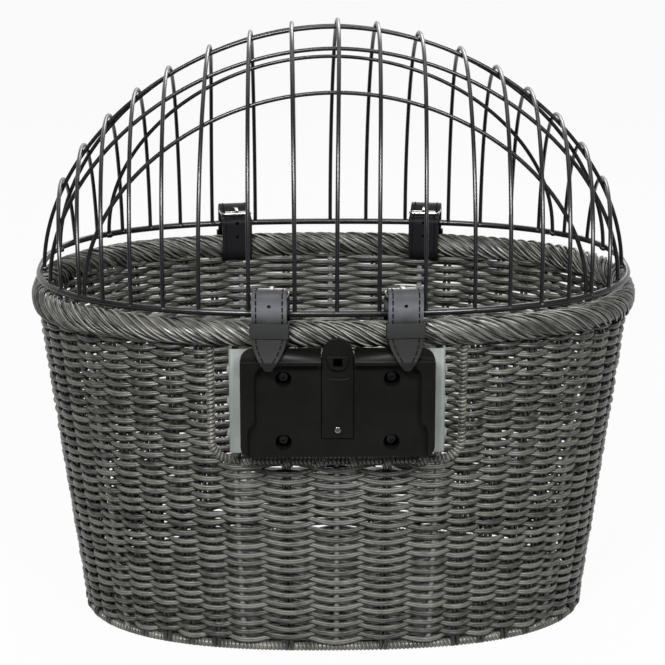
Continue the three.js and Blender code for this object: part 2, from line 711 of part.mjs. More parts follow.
// Lid, in its own frame: the middle of the ring is the origin, and the ring lies flat
const lid = new THREE.Group();
lid.position.set(0, 0, RIM_HEIGHT + LID_ABOVE_RIM + LID_HALF_DEPTH * Math.sin(LID_TILT));
lid.rotation.x = LID_TILT;
basket.add(lid);

const lidOval = { halfX: LID_HALF_WIDTH, halfY: LID_HALF_DEPTH, power: LID_POWER };
const archInset = LID_RING_RADIUS + ARCH_RADIUS + 1.5 * GAP;
const archOval = { ...lidOval, halfX: LID_HALF_WIDTH - archInset, halfY: LID_HALF_DEPTH - archInset };
const hoopFacetSag = LID_RISE * (1 - Math.cos(Math.PI / (2 * HOOP_STEPS)));
const archRise = LID_RISE - hoopFacetSag - HOOP_RADIUS - ARCH_RADIUS - GAP;

function domeRise(x, rise, halfWidth) {
  return rise * Math.max(0, 1 - Math.abs(x / halfWidth) ** LID_RISE_POWER) ** (1 / LID_RISE_POWER);
}

function hoopPlaces() {
  const nearBayEnd = MIDDLE_BAY + strapBay;
  const inner = [MIDDLE_BAY, nearBayEnd, nearBayEnd + strapBay + SWING_ROOM];
  const start = Math.asin(inner.at(-1) / LID_HALF_WIDTH);
  const step = (LAST_HOOP_ANGLE - start) / HOOPS_TO_END;
  const outer = Array.from({ length: HOOPS_TO_END }, (_, i) => {
    return LID_HALF_WIDTH * Math.sin(start + step * (i + 1));
  });
  const right = [...inner, ...outer];
  return [...right.map((x) => -x).reverse(), 0, ...right];
}

function lidHoop(x) {
  const depth = ovalDepth(lidOval, x);
  const rise = domeRise(x, LID_RISE, LID_HALF_WIDTH);
  const roundness = 2 / HOOP_POWER;
  const start = Math.asin(((LID_RING_RADIUS + GAP) / rise) ** (1 / roundness));
  const points = Array.from({ length: 3 * HOOP_STEPS + 1 }, (_, i) => {
    const angle = start + ((Math.PI - 2 * start) * i) / (3 * HOOP_STEPS);
    const across = Math.sign(Math.cos(angle)) * Math.abs(Math.cos(angle)) ** roundness;
    return new THREE.Vector3(x, -depth * across, rise * Math.sin(angle) ** roundness);
  });
  return barAlong(points, HOOP_RADIUS, WIRE_SIDES, HOOP_STEPS);
}

function lidArch(offset) {
  const endOffset = offset * (1 + ARCH_FLARE * (1 - Math.abs(offset) / LID_HALF_DEPTH));
  const reach = archOval.halfX
    * (1 - Math.abs(endOffset / archOval.halfY) ** LID_POWER) ** (1 / LID_POWER);
  const points = Array.from({ length: 4 * ARCH_STEPS + 1 }, (_, i) => {
    const x = reach * Math.sin(Math.PI * (i / (4 * ARCH_STEPS) - 0.5));
    const y = offset + (endOffset - offset) * (x / reach) ** 2;
    const share = y === 0 ? 0 : Math.min(1, Math.abs(y) / ovalDepth(archOval, x));
    const height = domeRise(x, archRise, archOval.halfX) * (1 - share ** HOOP_POWER) ** (1 / HOOP_POWER);
    return new THREE.Vector3(x, y, height);
  });
  return barAlong(points, ARCH_RADIUS, WIRE_SIDES, ARCH_STEPS);
}

const ringPoints = ovalPoints(lidOval, LID_RING_STEPS);
addPiece(lid, 'lid_ring', planarLoop(ringPoints, 0, polygon(LID_RING_RADIUS, WIRE_SIDES)), 'blackWire');
hoopPlaces().forEach((x, i) => {
  addPiece(lid, `lid_hoop_${String(i + 1).padStart(2, '0')}`, lidHoop(x), 'blackWire');
});
const archOffsets = [-LOWER_ARCH_OFFSET, -UPPER_ARCH_OFFSET, 0, UPPER_ARCH_OFFSET, LOWER_ARCH_OFFSET];
archOffsets.forEach((offset, i) => {
  addPiece(lid, `lid_arch_${i + 1}`, lidArch(offset), 'blackWire');
});

// Straps. Each has its own frame on the rim: X along the rim, Y outwards, Z up from the rim's centre.
const strapMiddle = (strapInner + strapOuter) / 2;
const tailMiddle = strapMiddle + STRAP_THICKNESS + STRAP_LAYER_GAP;
const heelWrap = BUCKLE_WIRE_RADIUS + GAP + STRAP_THICKNESS / 2;
const heelY = strapMiddle - heelWrap;
const rollerY = heelY - BUCKLE_LENGTH;
const tailWrap = tailMiddle - heelY;
const underRoller = BUCKLE_HEIGHT - ROLLER_RADIUS - GAP - STRAP_THICKNESS / 2;

// The way the strap runs in section: sewn round the heel bar, down outside, under the rim, up inside,
// under the roller, over the heel bar and down outside again to the pointed tip
function strapRun(kick) {
  const run = new THREE.Path();
  run.absarc(heelY, BUCKLE_HEIGHT, heelWrap, Math.PI, 0, true);
  run.lineTo(strapMiddle, 0);
  run.absarc(0, 0, strapMiddle, 0, -Math.PI, true);
  run.lineTo(-strapMiddle, BUCKLE_HEIGHT / 2);
  const bend = STRAP_THICKNESS;
  run.bezierCurveTo(
    -strapMiddle,
    underRoller - bend,
    rollerY - 2 * bend,
    underRoller - bend / 2,
    rollerY + bend / 2,
    underRoller,
  );
  const over = BUCKLE_HEIGHT + tailWrap;
  run.bezierCurveTo(rollerY + 4 * bend, underRoller + bend, heelY - 3 * bend, over, heelY, over);
  run.absarc(heelY, BUCKLE_HEIGHT, tailWrap, Math.PI / 2, 0, true);
  run.lineTo(tailMiddle, KEEPER_BOTTOM);
  if (kick > 0) {
    const across = tailMiddle + kick;
    run.bezierCurveTo(tailMiddle, -kick / 4, across, -kick / 5, across, -kick);
  }
  const end = run.currentPoint.clone();
  for (let i = 1; i <= TIP_STEPS; i += 1) {
    run.lineTo(end.x, end.y + ((-TAIL_DROP - end.y) * i) / TIP_STEPS);
  }
  return run;
}

function strapRibbon(kick) {
  const points = strapRun(kick).getPoints(STRAP_STEPS).filter((point, i, all) => {
    return i === 0 || point.distanceTo(all[i - 1]) > 0.01;
  });
  const toTip = points.map(() => 0);
  for (let i = points.length - 2; i >= 0; i -= 1) {
    toTip[i] = toTip[i + 1] + points[i].distanceTo(points[i + 1]);
  }
  const sections = points.map((point, i) => {
    const before = points[Math.max(i - 1, 0)];
    const after = points[Math.min(i + 1, points.length - 1)];
    const into = point.clone().sub(before).normalize();
    const out = after.clone().sub(point).normalize();
    const along = into.add(out).normalize();
    const half = STRAP_THICKNESS / 2;
    const across = new THREE.Vector2(-along.y, along.x).multiplyScalar(half);
    const taper = Math.max(0, 1 - toTip[i] / TIP_LENGTH) ** TIP_POWER;
    const wide = TIP_HALF_WIDTH + (STRAP_WIDTH / 2 - TIP_HALF_WIDTH) * (1 - taper);
    return [[-wide, 1], [wide, 1], [wide, -1], [-wide, -1]].map(([x, face]) => new THREE.Vector3(
      x,
      point.x + face * across.x,
      point.y + face * across.y,
    ));
  });
  const slot = new THREE.BoxGeometry(PRONG_WIDTH + 4 * GAP, PRONG_SLOT_LENGTH, 4 * STRAP_THICKNESS);
  slot.translate(0, heelY - PRONG_SLOT_LENGTH / 2 - heelWrap / 2, BUCKLE_HEIGHT + tailWrap / 2);
  const heelSlot = new THREE.BoxGeometry(PRONG_WIDTH + 4 * GAP, 2 * heelWrap + STRAP_THICKNESS, 3 * heelWrap);
  const inside = heelWrap + STRAP_THICKNESS / 2 + STRAP_LAYER_GAP / 2;
  heelSlot.translate(0, heelY, BUCKLE_HEIGHT + inside - 1.5 * heelWrap);
  return cut(loft(sections, false), [slot, heelSlot]);
}

function keeper() {
  const halfX = STRAP_WIDTH / 2 + STRAP_LAYER_GAP;
  const inner = strapInner - GAP;
  const outer = tailMiddle + STRAP_THICKNESS / 2 + GAP;
  const wall = KEEPER_THICKNESS;
  const shape = roundedRectangle(-halfX - wall, halfX + wall, inner - wall, outer + wall, wall);
  const options = { depth: KEEPER_HEIGHT, bevelEnabled: false, curveSegments: CORNER_STEPS };
  const block = new THREE.ExtrudeGeometry(shape, options).translate(0, 0, KEEPER_BOTTOM);
  const opening = new THREE.BoxGeometry(2 * halfX, outer - inner, 3 * KEEPER_HEIGHT);
  return cut(block, [opening.translate(0, (inner + outer) / 2, KEEPER_BOTTOM)]);
}

function buckleFrame() {
  const shape = roundedRectangle(-buckleHalfWidth, buckleHalfWidth, rollerY, heelY, BUCKLE_CORNER);
  const points = shape.getPoints(CORNER_STEPS - 1).slice(0, -1);
  const distinct = points.filter((point, i) => point.distanceTo(points[(i + 1) % points.length]) > 0.01);
  return planarLoop(distinct, BUCKLE_HEIGHT, polygon(BUCKLE_WIRE_RADIUS, WIRE_SIDES));
}

function buckleRoller() {
  const half = buckleHalfWidth - BUCKLE_WIRE_RADIUS - 2 * GAP - BUCKLE_CORNER / 2;
  const bore = BUCKLE_WIRE_RADIUS + GAP;
  const profile = [
    [bore, -half], [ROLLER_RADIUS, -half], [ROLLER_RADIUS, half], [bore, half], [bore, -half],
  ].map(([radius, along]) => new THREE.Vector2(radius, along));
  const roller = new THREE.LatheGeometry(profile, SCREW_SIDES);
  return roller.rotateZ(Math.PI / 2).translate(0, rollerY, BUCKLE_HEIGHT);
}

function buckleProng() {
  const bore = BUCKLE_WIRE_RADIUS + GAP;
  const eye = bore + PRONG_THICKNESS;
  const tip = rollerY - PRONG_OVERHANG;
  const rest = BUCKLE_HEIGHT + ROLLER_RADIUS + GAP;
  const shape = new THREE.Shape();
  shape.moveTo(heelY, BUCKLE_HEIGHT + eye);
  shape.absarc(heelY, BUCKLE_HEIGHT, eye, Math.PI / 2, -Math.PI, true);
  shape.lineTo(rollerY + 2 * ROLLER_RADIUS, rest);
  shape.lineTo(tip, rest);
  shape.lineTo(tip, rest + PRONG_THICKNESS / 2);
  shape.lineTo(rollerY + 2 * ROLLER_RADIUS, rest + PRONG_THICKNESS);
  const hole = new THREE.Path(polygon(bore, SCREW_SIDES).map((point) => {
    return new THREE.Vector2(heelY + point.x, BUCKLE_HEIGHT + point.y);
  }));
  shape.holes.push(hole);
  const options = { depth: PRONG_WIDTH, bevelEnabled: false, curveSegments: 6 };
  const prong = new THREE.ExtrudeGeometry(shape, options).translate(0, 0, -PRONG_WIDTH / 2);
  return prong.rotateX(Math.PI / 2).rotateZ(Math.PI / 2);
}

// A near strap's tail hangs in front of the adapter plate, so it steps out over the plate's top edge
function tailKick(strap) {
  if (strap.side > 0) {
    return 0;
  }
  const skew = (STRAP_WIDTH / 2) * Math.abs(strap.normal.x);
  const clear = plateFront + strap.y + skew + STRAP_LAYER_GAP + STRAP_THICKNESS / 2;
  return clear / Math.abs(strap.normal.y) - tailMiddle;
}

for (const strap of straps) {
  const fastening = new THREE.Group();
  fastening.position.set(strap.x, strap.y, RIM_HEIGHT);
  fastening.rotation.z = strap.turn;
  basket.add(fastening);
  addPiece(fastening, `${strap.name}_strap`, strapRibbon(tailKick(strap)), 'strap');
  addPiece(fastening, `${strap.name}_keeper`, keeper(), 'strap');
  addPiece(fastening, `${strap.name}_buckle_frame`, buckleFrame(), 'nickel');
  addPiece(fastening, `${strap.name}_buckle_roller`, buckleRoller(), 'nickel');
  addPiece(fastening, `${strap.name}_buckle_prong`, buckleProng(), 'nickel');
}

export default basket;
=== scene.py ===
# %% [markdown]
# # A woven bicycle basket with a wire dome
# This lesson dresses a CAD model of a handlebar basket. The CAD model is the frame: it fixes where
# every piece is and how it moves. Blender adds what CAD leaves out, such as the weave of the cane, the
# roped rim, smooth bent wire, sewn belts and the finish of each material.

# %% Load the frame
import json
from math import copysign, pi, radians, sqrt, tau
import bmesh
import bpy
import numpy as np
from mathutils import Matrix, Vector


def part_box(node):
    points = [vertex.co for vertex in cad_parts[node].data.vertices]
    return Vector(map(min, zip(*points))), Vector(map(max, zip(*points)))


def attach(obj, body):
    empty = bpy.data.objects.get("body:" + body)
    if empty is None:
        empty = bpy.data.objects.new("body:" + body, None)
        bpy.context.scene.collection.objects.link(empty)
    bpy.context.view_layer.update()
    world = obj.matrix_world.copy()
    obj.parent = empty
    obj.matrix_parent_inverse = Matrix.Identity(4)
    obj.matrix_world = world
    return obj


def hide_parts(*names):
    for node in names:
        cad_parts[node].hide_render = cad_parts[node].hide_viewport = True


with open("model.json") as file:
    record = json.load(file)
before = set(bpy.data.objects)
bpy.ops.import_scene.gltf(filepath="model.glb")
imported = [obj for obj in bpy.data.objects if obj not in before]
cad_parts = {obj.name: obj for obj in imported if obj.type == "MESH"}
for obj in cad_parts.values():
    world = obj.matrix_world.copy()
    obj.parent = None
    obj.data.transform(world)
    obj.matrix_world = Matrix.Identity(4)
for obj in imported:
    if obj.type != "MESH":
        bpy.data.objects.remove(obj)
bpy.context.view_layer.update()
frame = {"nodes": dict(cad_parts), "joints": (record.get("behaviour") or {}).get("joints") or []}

# %% [markdown]
# ## Small tools
# Blender's operators act on whatever is selected, so a step often starts by selecting one object alone.
# A primitive that has just been added is selected already. A finished piece gets its material, then
# rides on a CAD body and takes the place of a CAD node.


# %% Add, select, join, apply and settle
def add_object(name, data):
    obj = bpy.data.objects.new(name, data)
    bpy.context.scene.collection.objects.link(obj)
    return obj


def add_cylinder(sides, radius, depth, height=0.0):
    bpy.ops.mesh.primitive_cylinder_add(vertices=sides, radius=radius, depth=depth, location=(0, 0, height))
    return bpy.context.object


def only(obj):
    bpy.ops.object.select_all(action="DESELECT")
    obj.select_set(True)
    bpy.context.view_layer.objects.active = obj


def join_all(pieces, name):
    only(pieces[0])
    for piece in pieces[1:]:
        piece.select_set(True)
    bpy.ops.object.join()
    bpy.ops.object.shade_smooth()
    pieces[0].name = name
    return pieces[0]


def apply_modifier(obj, kind, **settings):
    only(obj)
    modifier = obj.modifiers.new(kind, kind)
    for key, value in settings.items():
        setattr(modifier, key, value)
    bpy.ops.object.modifier_apply(modifier=modifier.name)


def cut_out(obj, cutter):
    apply_modifier(obj, "BOOLEAN", object=cutter, solver="EXACT")
    bpy.data.objects.remove(cutter)


def settle(obj, body, slot, finish, *nodes):
    obj.data.materials.clear()
    obj.data.materials.append(finish)
    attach(obj, body)
    if nodes:
        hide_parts(*nodes)
    print(obj.name, "on", body, len(obj.data.polygons), "faces")


# %% [markdown]
# ## Strands and wires
# Cane and wire are long things with one section. By hand they are drawn as a curve, and the curve's
# bevel gives them their thickness: an oval section for flat cane, a round one for thin cane and wire.
# The curve is then converted to a mesh. Conversion also writes a UV map, with U along the strand and V
# round it, which the cane's fine ribs follow later. No two canes are dyed quite alike, so each strand
# also carries a tone of its own as an attribute. A piece is settled as soon as it is drawn.

# %% Draw strands
SECTION_STEPS = 2
rng = np.random.default_rng(11)


def cane_section(half_thick, half_height):
    bpy.ops.curve.primitive_bezier_circle_add(radius=1.0)
    section = bpy.context.object
    section.data.resolution_u = SECTION_STEPS
    bpy.ops.transform.resize(value=(half_thick, half_height, 1.0))
    bpy.ops.object.transform_apply(location=False, rotation=False, scale=True)
    return section


def draw_curve(name, paths, closed, twist, swells=None):
    curve = bpy.data.curves.new(name, "CURVE")
    curve.dimensions = "3D"
    curve.twist_mode = twist
    curve.use_fill_caps = not closed
    for number, path in enumerate(paths):
        points = np.asarray(path, float)
        spline = curve.splines.new("POLY")
        spline.points.add(len(points) - 1)
        spline.points.foreach_set("co", np.c_[points, np.ones(len(points))].ravel())
        if swells is not None:
            spline.points.foreach_set("radius", swells[number])
        spline.use_cyclic_u = closed
    return add_object(name, curve)


def to_mesh(obj):
    only(obj)
    bpy.ops.object.convert(target="MESH")
    bpy.ops.object.shade_smooth()


def tone_strands(obj, points):
    round_section = len(obj.data.vertices) // sum(points)
    tones = np.repeat(rng.random(len(points)), np.array(points) * round_section)
    tone = obj.data.attributes.new("tone", "FLOAT", "POINT")
    tone.data.foreach_set("value", tones)


def draw_strands(name, paths, size, finish, *nodes, closed=False, swells=None):
    flat = isinstance(size, tuple)
    section = cane_section(*(size if flat else (size, size)))
    obj = draw_curve(name, paths, closed, "Z_UP" if flat else "MINIMUM", swells)
    obj.data.bevel_mode = "OBJECT"
    obj.data.bevel_object = section
    to_mesh(obj)
    bpy.data.objects.remove(section)
    tone_strands(obj, [len(path) if closed else len(path) + 2 for path in paths])
    settle(obj, "basket", "cane", finish, *nodes)


def draw_wires(name, paths, radius, body, slot, finish, *nodes, closed=False, sides=3):
    obj = draw_curve(name, paths, closed, "MINIMUM")
    obj.data.bevel_depth = radius
    obj.data.bevel_resolution = sides
    to_mesh(obj)
    settle(obj, body, slot, finish, *nodes)


# %% [markdown]
# ## Materials
# All colour comes from node trees. Cane is extruded plastic: fine ribs run along it, its grey drifts
# from strand to strand, and it has a waxy sheen. The ribs also darken the colour in their grooves as
# painted shade and lighten it on their crests as painted highlight. The ribs use the strand's own UV map,
# so that they follow it round every bend. The drift uses Object coordinates, which are metres on the real
# basket.

# %% Node helpers
EVEN = (1.0, 1.0, 1.0)


def new_finish(name, roughness, gloss=0.5, metallic=0.0):
    material = bpy.data.materials.new(name)
    material.use_nodes = True
    shader = material.node_tree.nodes["Principled BSDF"]
    shader.inputs["Roughness"].default_value = roughness
    shader.inputs["Specular IOR Level"].default_value = gloss
    shader.inputs["Metallic"].default_value = metallic
    return material, material.node_tree, shader


def feed(tree, socket, value):
    if isinstance(value, bpy.types.NodeSocket):
        tree.links.new(value, socket)
    else:
        socket.default_value = value


def add_node(tree, kind, **values):
    node = tree.nodes.new("ShaderNode" + kind)
    for key, value in values.items():
        if key in node.inputs:
            feed(tree, node.inputs[key], value)
        else:
            setattr(node, key, value)
    return node


def math_node(tree, operation, *values):
    node = add_node(tree, "Math", operation=operation)
    for socket, value in zip(node.inputs, values):
        feed(tree, socket, value)
    return node.outputs["Value"]


def split_place(tree, coordinates):
    place = add_node(tree, "TexCoord").outputs[coordinates]
    return add_node(tree, "SeparateXYZ", Vector=place).outputs


def object_noise(tree, scale, detail=2.0, stretch=EVEN):
    place = add_node(tree, "TexCoord").outputs["Object"]
    stretched = add_node(tree, "Mapping", Vector=place, Scale=stretch).outputs["Vector"]
    return add_node(tree, "TexNoise", Vector=stretched, Scale=scale, Detail=detail).outputs["Fac"]


def ranged(tree, value, low, high, start=0.0, stop=1.0):
    ends = {"From Min": start, "From Max": stop, "To Min": low, "To Max": high}
    return add_node(tree, "MapRange", Value=value, **ends).outputs["Result"]


def colour_ramp(tree, factor, stops):
    ramp = add_node(tree, "ValToRGB", Fac=factor)
    elements = ramp.color_ramp.elements
    while len(elements) < len(stops):
        elements.new(0.5)
    for element, (position, colour) in zip(elements, stops):
        element.position = position
        element.color = (*colour, 1.0)
    return ramp.outputs["Color"]


def surface(tree, shader, colour, roughness, height, strength, distance):
    bump = add_node(tree, "Bump", Height=height, Strength=strength, Distance=distance)
    feed(tree, shader.inputs["Base Color"], colour)
    feed(tree, shader.inputs["Roughness"], roughness)
    feed(tree, shader.inputs["Normal"], bump.outputs["Normal"])


# %% Cane
TONE_SHARE = 0.4
FLECK_SCALE = 900.0
FLECKS = (0.75, 1.25)
CANE_SHEEN = (0.28, 0.40)
RIB_BUMP = (0.5, 0.0003)


def cane_finish(name, dark, pale, ribs, groove_shade, drift, stretch=EVEN):
    material, tree, shader = new_finish(name, CANE_SHEEN[1])
    round_strand = split_place(tree, "UV")["Y"]
    rib = math_node(tree, "SINE", math_node(tree, "MULTIPLY", round_strand, tau * ribs))
    strand_drift = object_noise(tree, drift, 3.0, stretch)
    tone = add_node(tree, "Attribute", attribute_name="tone").outputs["Fac"]
    dye = math_node(tree, "MULTIPLY_ADD", tone, TONE_SHARE, strand_drift)
    base = colour_ramp(tree, dye, [(0.40, dark), (0.95, pale)])
    fleck = ranged(tree, object_noise(tree, FLECK_SCALE), *FLECKS)
    # Painted shade and highlight: the colour is scaled down in each rib's groove and up on its crest.
    shade = math_node(tree, "MULTIPLY", fleck, ranged(tree, rib, *groove_shade))
    tinted = add_node(tree, "VectorMath", operation="SCALE", Vector=base, Scale=shade)
    roughness = ranged(tree, strand_drift, *CANE_SHEEN)
    surface(tree, shader, tinted.outputs["Vector"], roughness, rib, *RIB_BUMP)
    return material


WEAVER_GREYS = ((0.015, 0.015, 0.0128), (0.104, 0.103, 0.089))
ROPE_GREYS = ((0.006, 0.006, 0.0052), (0.150, 0.149, 0.133))
WRAP_GREYS = ((0.032, 0.032, 0.027), (0.150, 0.148, 0.128))
# The stake cane is darker than the weavers partly as painted shade for the gaps of the weave it shows in;
# the floor rods, the window rod and the rim's core share it.
STAKE_GREYS = ((0.009, 0.009, 0.0077), (0.034, 0.0335, 0.029))
weaver_cane = cane_finish("weaver_cane", *WEAVER_GREYS, 6, (0.62, 1.2), 160.0, (1.0, 1.0, 3.0))
rope_cane = cane_finish("rope_cane", *ROPE_GREYS, 3, (0.45, 1.25), 90.0)
wrap_cane = cane_finish("wrap_cane", *WRAP_GREYS, 4, (0.7, 1.2), 60.0)
stake_cane = cane_finish("stake_cane", *STAKE_GREYS, 6, (0.5, 1.1), 40.0, (1.0, 1.0, 0.2))

# %% [markdown]
# Steel comes in three finishes here. The bracket and the rods are coated a pale grey-green, the dome's
# wire has a glossy black coat, and the buckles and screws are plated. The rods in the wall take a darker
# copy of the pale coat and the plate's bolts a darker copy of the plating, painted shade for the weave
# and the recesses they sit in. No finish is quite even, so large noise moves its colour, and fine noise
# moves its roughness and its surface. The same recipe gives the grained plastic of the adapter plate and
# the dark thread of the belts.


# %% Metal, plastic and thread
def grained_finish(name, low, high, roughness, cloud, grain, bump, gloss=0.5, metallic=0.0,
                   stops=(0.3, 0.7), stretch=EVEN):
    material, tree, shader = new_finish(name, roughness[0], gloss, metallic)
    clouds = object_noise(tree, *cloud)
    grains = object_noise(tree, grain, 2.0, stretch)
    base = colour_ramp(tree, clouds, list(zip(stops, (low, high))))
    surface(tree, shader, base, ranged(tree, grains, *roughness), grains, *bump)
    return material


BLACK_COAT = ((0.003, 0.003, 0.003), (0.007, 0.007, 0.007))
PALE_COAT = ((0.150, 0.167, 0.155), (0.194, 0.214, 0.200))
# ROD_COAT is the pale coat darkened: painted shade for the rods that stand among the weavers.
ROD_COAT = ((0.096, 0.107, 0.099), (0.136, 0.150, 0.140))
NICKEL = ((0.25, 0.24, 0.225), (0.37, 0.355, 0.335))
ZINC = ((0.16, 0.18, 0.19), (0.28, 0.30, 0.32))
# The zinc plating darkened: painted shade for the bolts that sit deep in the plate's recesses.
SHADED_ZINC = ((0.030, 0.031, 0.031), (0.075, 0.077, 0.078))
BLACK_PLASTIC = ((0.0022, 0.0022, 0.0020), (0.0042, 0.0041, 0.0037))
DARK_THREAD = ((0.002, 0.002, 0.002), (0.006, 0.006, 0.006))
MATT = dict(roughness=(0.42, 0.58), cloud=(60.0, 3.0), grain=840.0, bump=(0.15, 0.0002), gloss=0.35)
WIRE = dict(roughness=(0.24, 0.34), cloud=(90.0, 3.0), grain=1260.0, bump=(0.06, 0.0002), gloss=0.4)
SPUN = dict(roughness=(0.6, 0.8), cloud=(3000.0, 2.0), grain=3000.0, bump=(0.4, 0.0002), gloss=0.05)
MOULDED = dict(roughness=(0.36, 0.48), cloud=(35.0, 3.0), grain=2600.0, bump=(0.15, 0.00012), gloss=0.1)
PLATING = dict(cloud=(220.0, 3.0), grain=1400.0, bump=(0.12, 0.0001), metallic=1.0)
PLATING.update(stops=(0.35, 0.7), stretch=(0.08, 1.0, 1.0))
pale_coat = grained_finish("pale_coat", *PALE_COAT, **MATT)
rod_coat = grained_finish("rod_coat", *ROD_COAT, **MATT)
wire_coat = grained_finish("wire_coat", *BLACK_COAT, **WIRE)
nickel = grained_finish("nickel", *NICKEL, roughness=(0.22, 0.38), **PLATING)
zinc = grained_finish("zinc", *ZINC, roughness=(0.2, 0.38), **PLATING)
shaded_zinc = grained_finish("shaded_zinc", *SHADED_ZINC, roughness=(0.25, 0.42), **PLATING)
plastic = grained_finish("grained_plastic", *BLACK_PLASTIC, stops=(0.3, 0.72), **MOULDED)
thread = grained_finish("dark_thread", *DARK_THREAD, **SPUN)

# %% [markdown]
# The belts are imitation leather: a pebbled coat on cloth. A band of the near belts is painted paler, a
# painted sheen for the light they catch from above. Height on the basket places that band, and the colour
# darkens again towards the top, painted shade where the belt bends over the buckle. The near keepers get
# a painted sheen of their own, and the far belts a faint one.

# %% Leather
SHEEN_HALF = 0.013
SHEEN_SHARE = 0.65
CLOUD_SHARE = 0.15
BEND_SHADE_SHARE = 0.3
LEATHER_SHEEN = (0.36, 0.52)
PEBBLES = 1500.0
PEBBLE_BUMP = (0.25, 0.00015)


def leather_finish(name, leather_colour, sheen_colour, sheen_height):
    material, tree, shader = new_finish(name, 0.5, 0.05)
    place = add_node(tree, "TexCoord").outputs["Object"]
    pebble = add_node(tree, "TexVoronoi", Vector=place, Scale=PEBBLES).outputs["Distance"]
    height = split_place(tree, "Object")["Z"]
    # Painted sheen: the belt is lightened in a band by height, and the ramp's last stop darkens it again
    # above the band, painted shade where it bends over the buckle. The cloud adds random tone.
    sheen_band = ranged(tree, height, 0.0, 1.0, sheen_height - SHEEN_HALF, sheen_height + SHEEN_HALF)
    cloud = object_noise(tree, 130.0, 4.0)
    clouded = math_node(tree, "MULTIPLY", cloud, CLOUD_SHARE)
    sheen_and_tone = math_node(tree, "MULTIPLY_ADD", sheen_band, SHEEN_SHARE, clouded)
    bend_shade = [low + BEND_SHADE_SHARE * (high - low) for low, high in zip(leather_colour, sheen_colour)]
    base = colour_ramp(tree, sheen_and_tone, [(0.10, leather_colour), (0.40, sheen_colour), (0.70, bend_shade)])
    surface(tree, shader, base, ranged(tree, cloud, *LEATHER_SHEEN), pebble, *PEBBLE_BUMP)
    return material


# Each finish's second colour is its painted sheen: strong on the near belts and keepers, faint on the far
# belts.
leather = leather_finish("belt_leather", (0.008, 0.008, 0.009), (0.015, 0.015, 0.016), 0.30)
sheen_leather = leather_finish("sheen_leather", (0.0096, 0.0095, 0.0093), (0.084, 0.088, 0.095), 0.278)
loop_leather = leather_finish("loop_leather", (0.020, 0.0203, 0.0206), (0.165, 0.173, 0.185), 0.288)
print("finishes", [material.name for material in bpy.data.materials])

# %% [markdown]
# ## The oval of the tub
# Rim, wall and foot are rounded ovals, fuller than an ellipse. A power says how full: 2 is an ellipse,
# and a larger number squares it up. The wall leans outwards, so its oval grows from the foot to the rim.

# %% Ovals
RIM_POWER = 2.4
FOOT_POWER = 2.5
TOP_INSET = 0.0025
TURN = np.linspace(0.0, tau, 20001)
wall_low, wall_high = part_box("wicker_wall")
foot_low, foot_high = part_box("foot_ring")
rim_low, rim_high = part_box("rim_border")
FOOT_RADIUS = (foot_high.z - foot_low.z) / 2
RIM_RADIUS = (rim_high.z - rim_low.z) / 2
RIM_HEIGHT = (rim_low.z + rim_high.z) / 2
FOOT_OVAL = (foot_high.x - FOOT_RADIUS, foot_high.y - FOOT_RADIUS, FOOT_POWER)
RIM_OVAL = (rim_high.x - RIM_RADIUS, rim_high.y - RIM_RADIUS, RIM_POWER)
TOP_OVAL = (RIM_OVAL[0] - TOP_INSET, RIM_OVAL[1] - TOP_INSET, RIM_POWER)


def oval_points(angle, oval):
    half_x, half_y, power = oval
    side, front = np.sin(angle), np.cos(angle)
    x = half_x * np.sign(side) * np.abs(side) ** (2 / power)
    y = -half_y * np.sign(front) * np.abs(front) ** (2 / power)
    return x, y


def oval_normals(x, y, oval):
    half_x, half_y, power = oval
    nx = np.sign(x) * np.abs(x / half_x) ** (power - 1) / half_x
    ny = np.sign(y) * np.abs(y / half_y) ** (power - 1) / half_y
    length = np.hypot(nx, ny)
    return nx / length, ny / length


def oval_reach(place, half_along, half_across, power):
    return half_across * np.maximum(0.0, 1 - np.abs(place / half_along) ** power) ** (1 / power)


def oval_lengths(oval):
    x, y = oval_points(TURN, oval)
    return np.concatenate([[0.0], np.cumsum(np.hypot(np.diff(x), np.diff(y)))])


def along_oval(share, oval):
    lengths = oval_lengths(oval)
    x, y = oval_points(np.interp(share * lengths[-1], lengths, TURN), oval)
    return x, y, *oval_normals(x, y, oval)


def wall_oval(height):
    share = (height - wall_low.z) / (wall_high.z - wall_low.z)
    return tuple(low + (high - low) * share for low, high in zip(FOOT_OVAL, TOP_OVAL))


MID_LENGTHS = oval_lengths(wall_oval((wall_low.z + wall_high.z) / 2))
ROUND = MID_LENGTHS[-1]
print("rim is", round(oval_lengths(RIM_OVAL)[-1], 3), "m round, wall at mid height", round(ROUND, 3))

# %% [markdown]
# ## Stakes
# A basket starts with its stakes, the uprights that the weavers pass in front of and behind. Some here
# are pale coated rods of the steel frame, and the rest are pairs of dark cane, coloured darker still as
# painted shade, as they show mostly deep in the gaps of the weave. They stand further apart on the flat
# front than round the ends, so their places are listed along one quarter of the oval. At the bottom the
# cane pairs hook over the foot ring and hold it to the wall.

# %% Stake places
STAKE_ROW = (0.0, 0.037, 0.074, 0.0965)
END_STAKES = 9
QUARTER = ROUND / 4
quarter = [*STAKE_ROW, *np.linspace(STAKE_ROW[-1], QUARTER, END_STAKES + 1)[1:]]
half_round = quarter[:-1] + [2 * QUARTER - place for place in reversed(quarter)][:-1]
stake_places = np.array(half_round + [2 * QUARTER + place for place in half_round])
STAKES = len(stake_places)
PALE_STAKES = {0, 2, 7, 12, 17, 22, 24, 26, 31, 36, 41, 46}
WINDOW_STAKES = {0, 1, STAKES - 1, 2, STAKES - 2}
BORDER_RADIUS = 0.003
BORDER_SPREAD = 0.002
BORDER_DROP = 0.003
WINDOW_CORNER = 0.014
window_low, window_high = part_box("window_border")
WINDOW_HALF = window_high.x - BORDER_RADIUS + BORDER_SPREAD
WINDOW_BOTTOM = window_low.z + BORDER_RADIUS - BORDER_DROP
print(STAKES, "stakes")


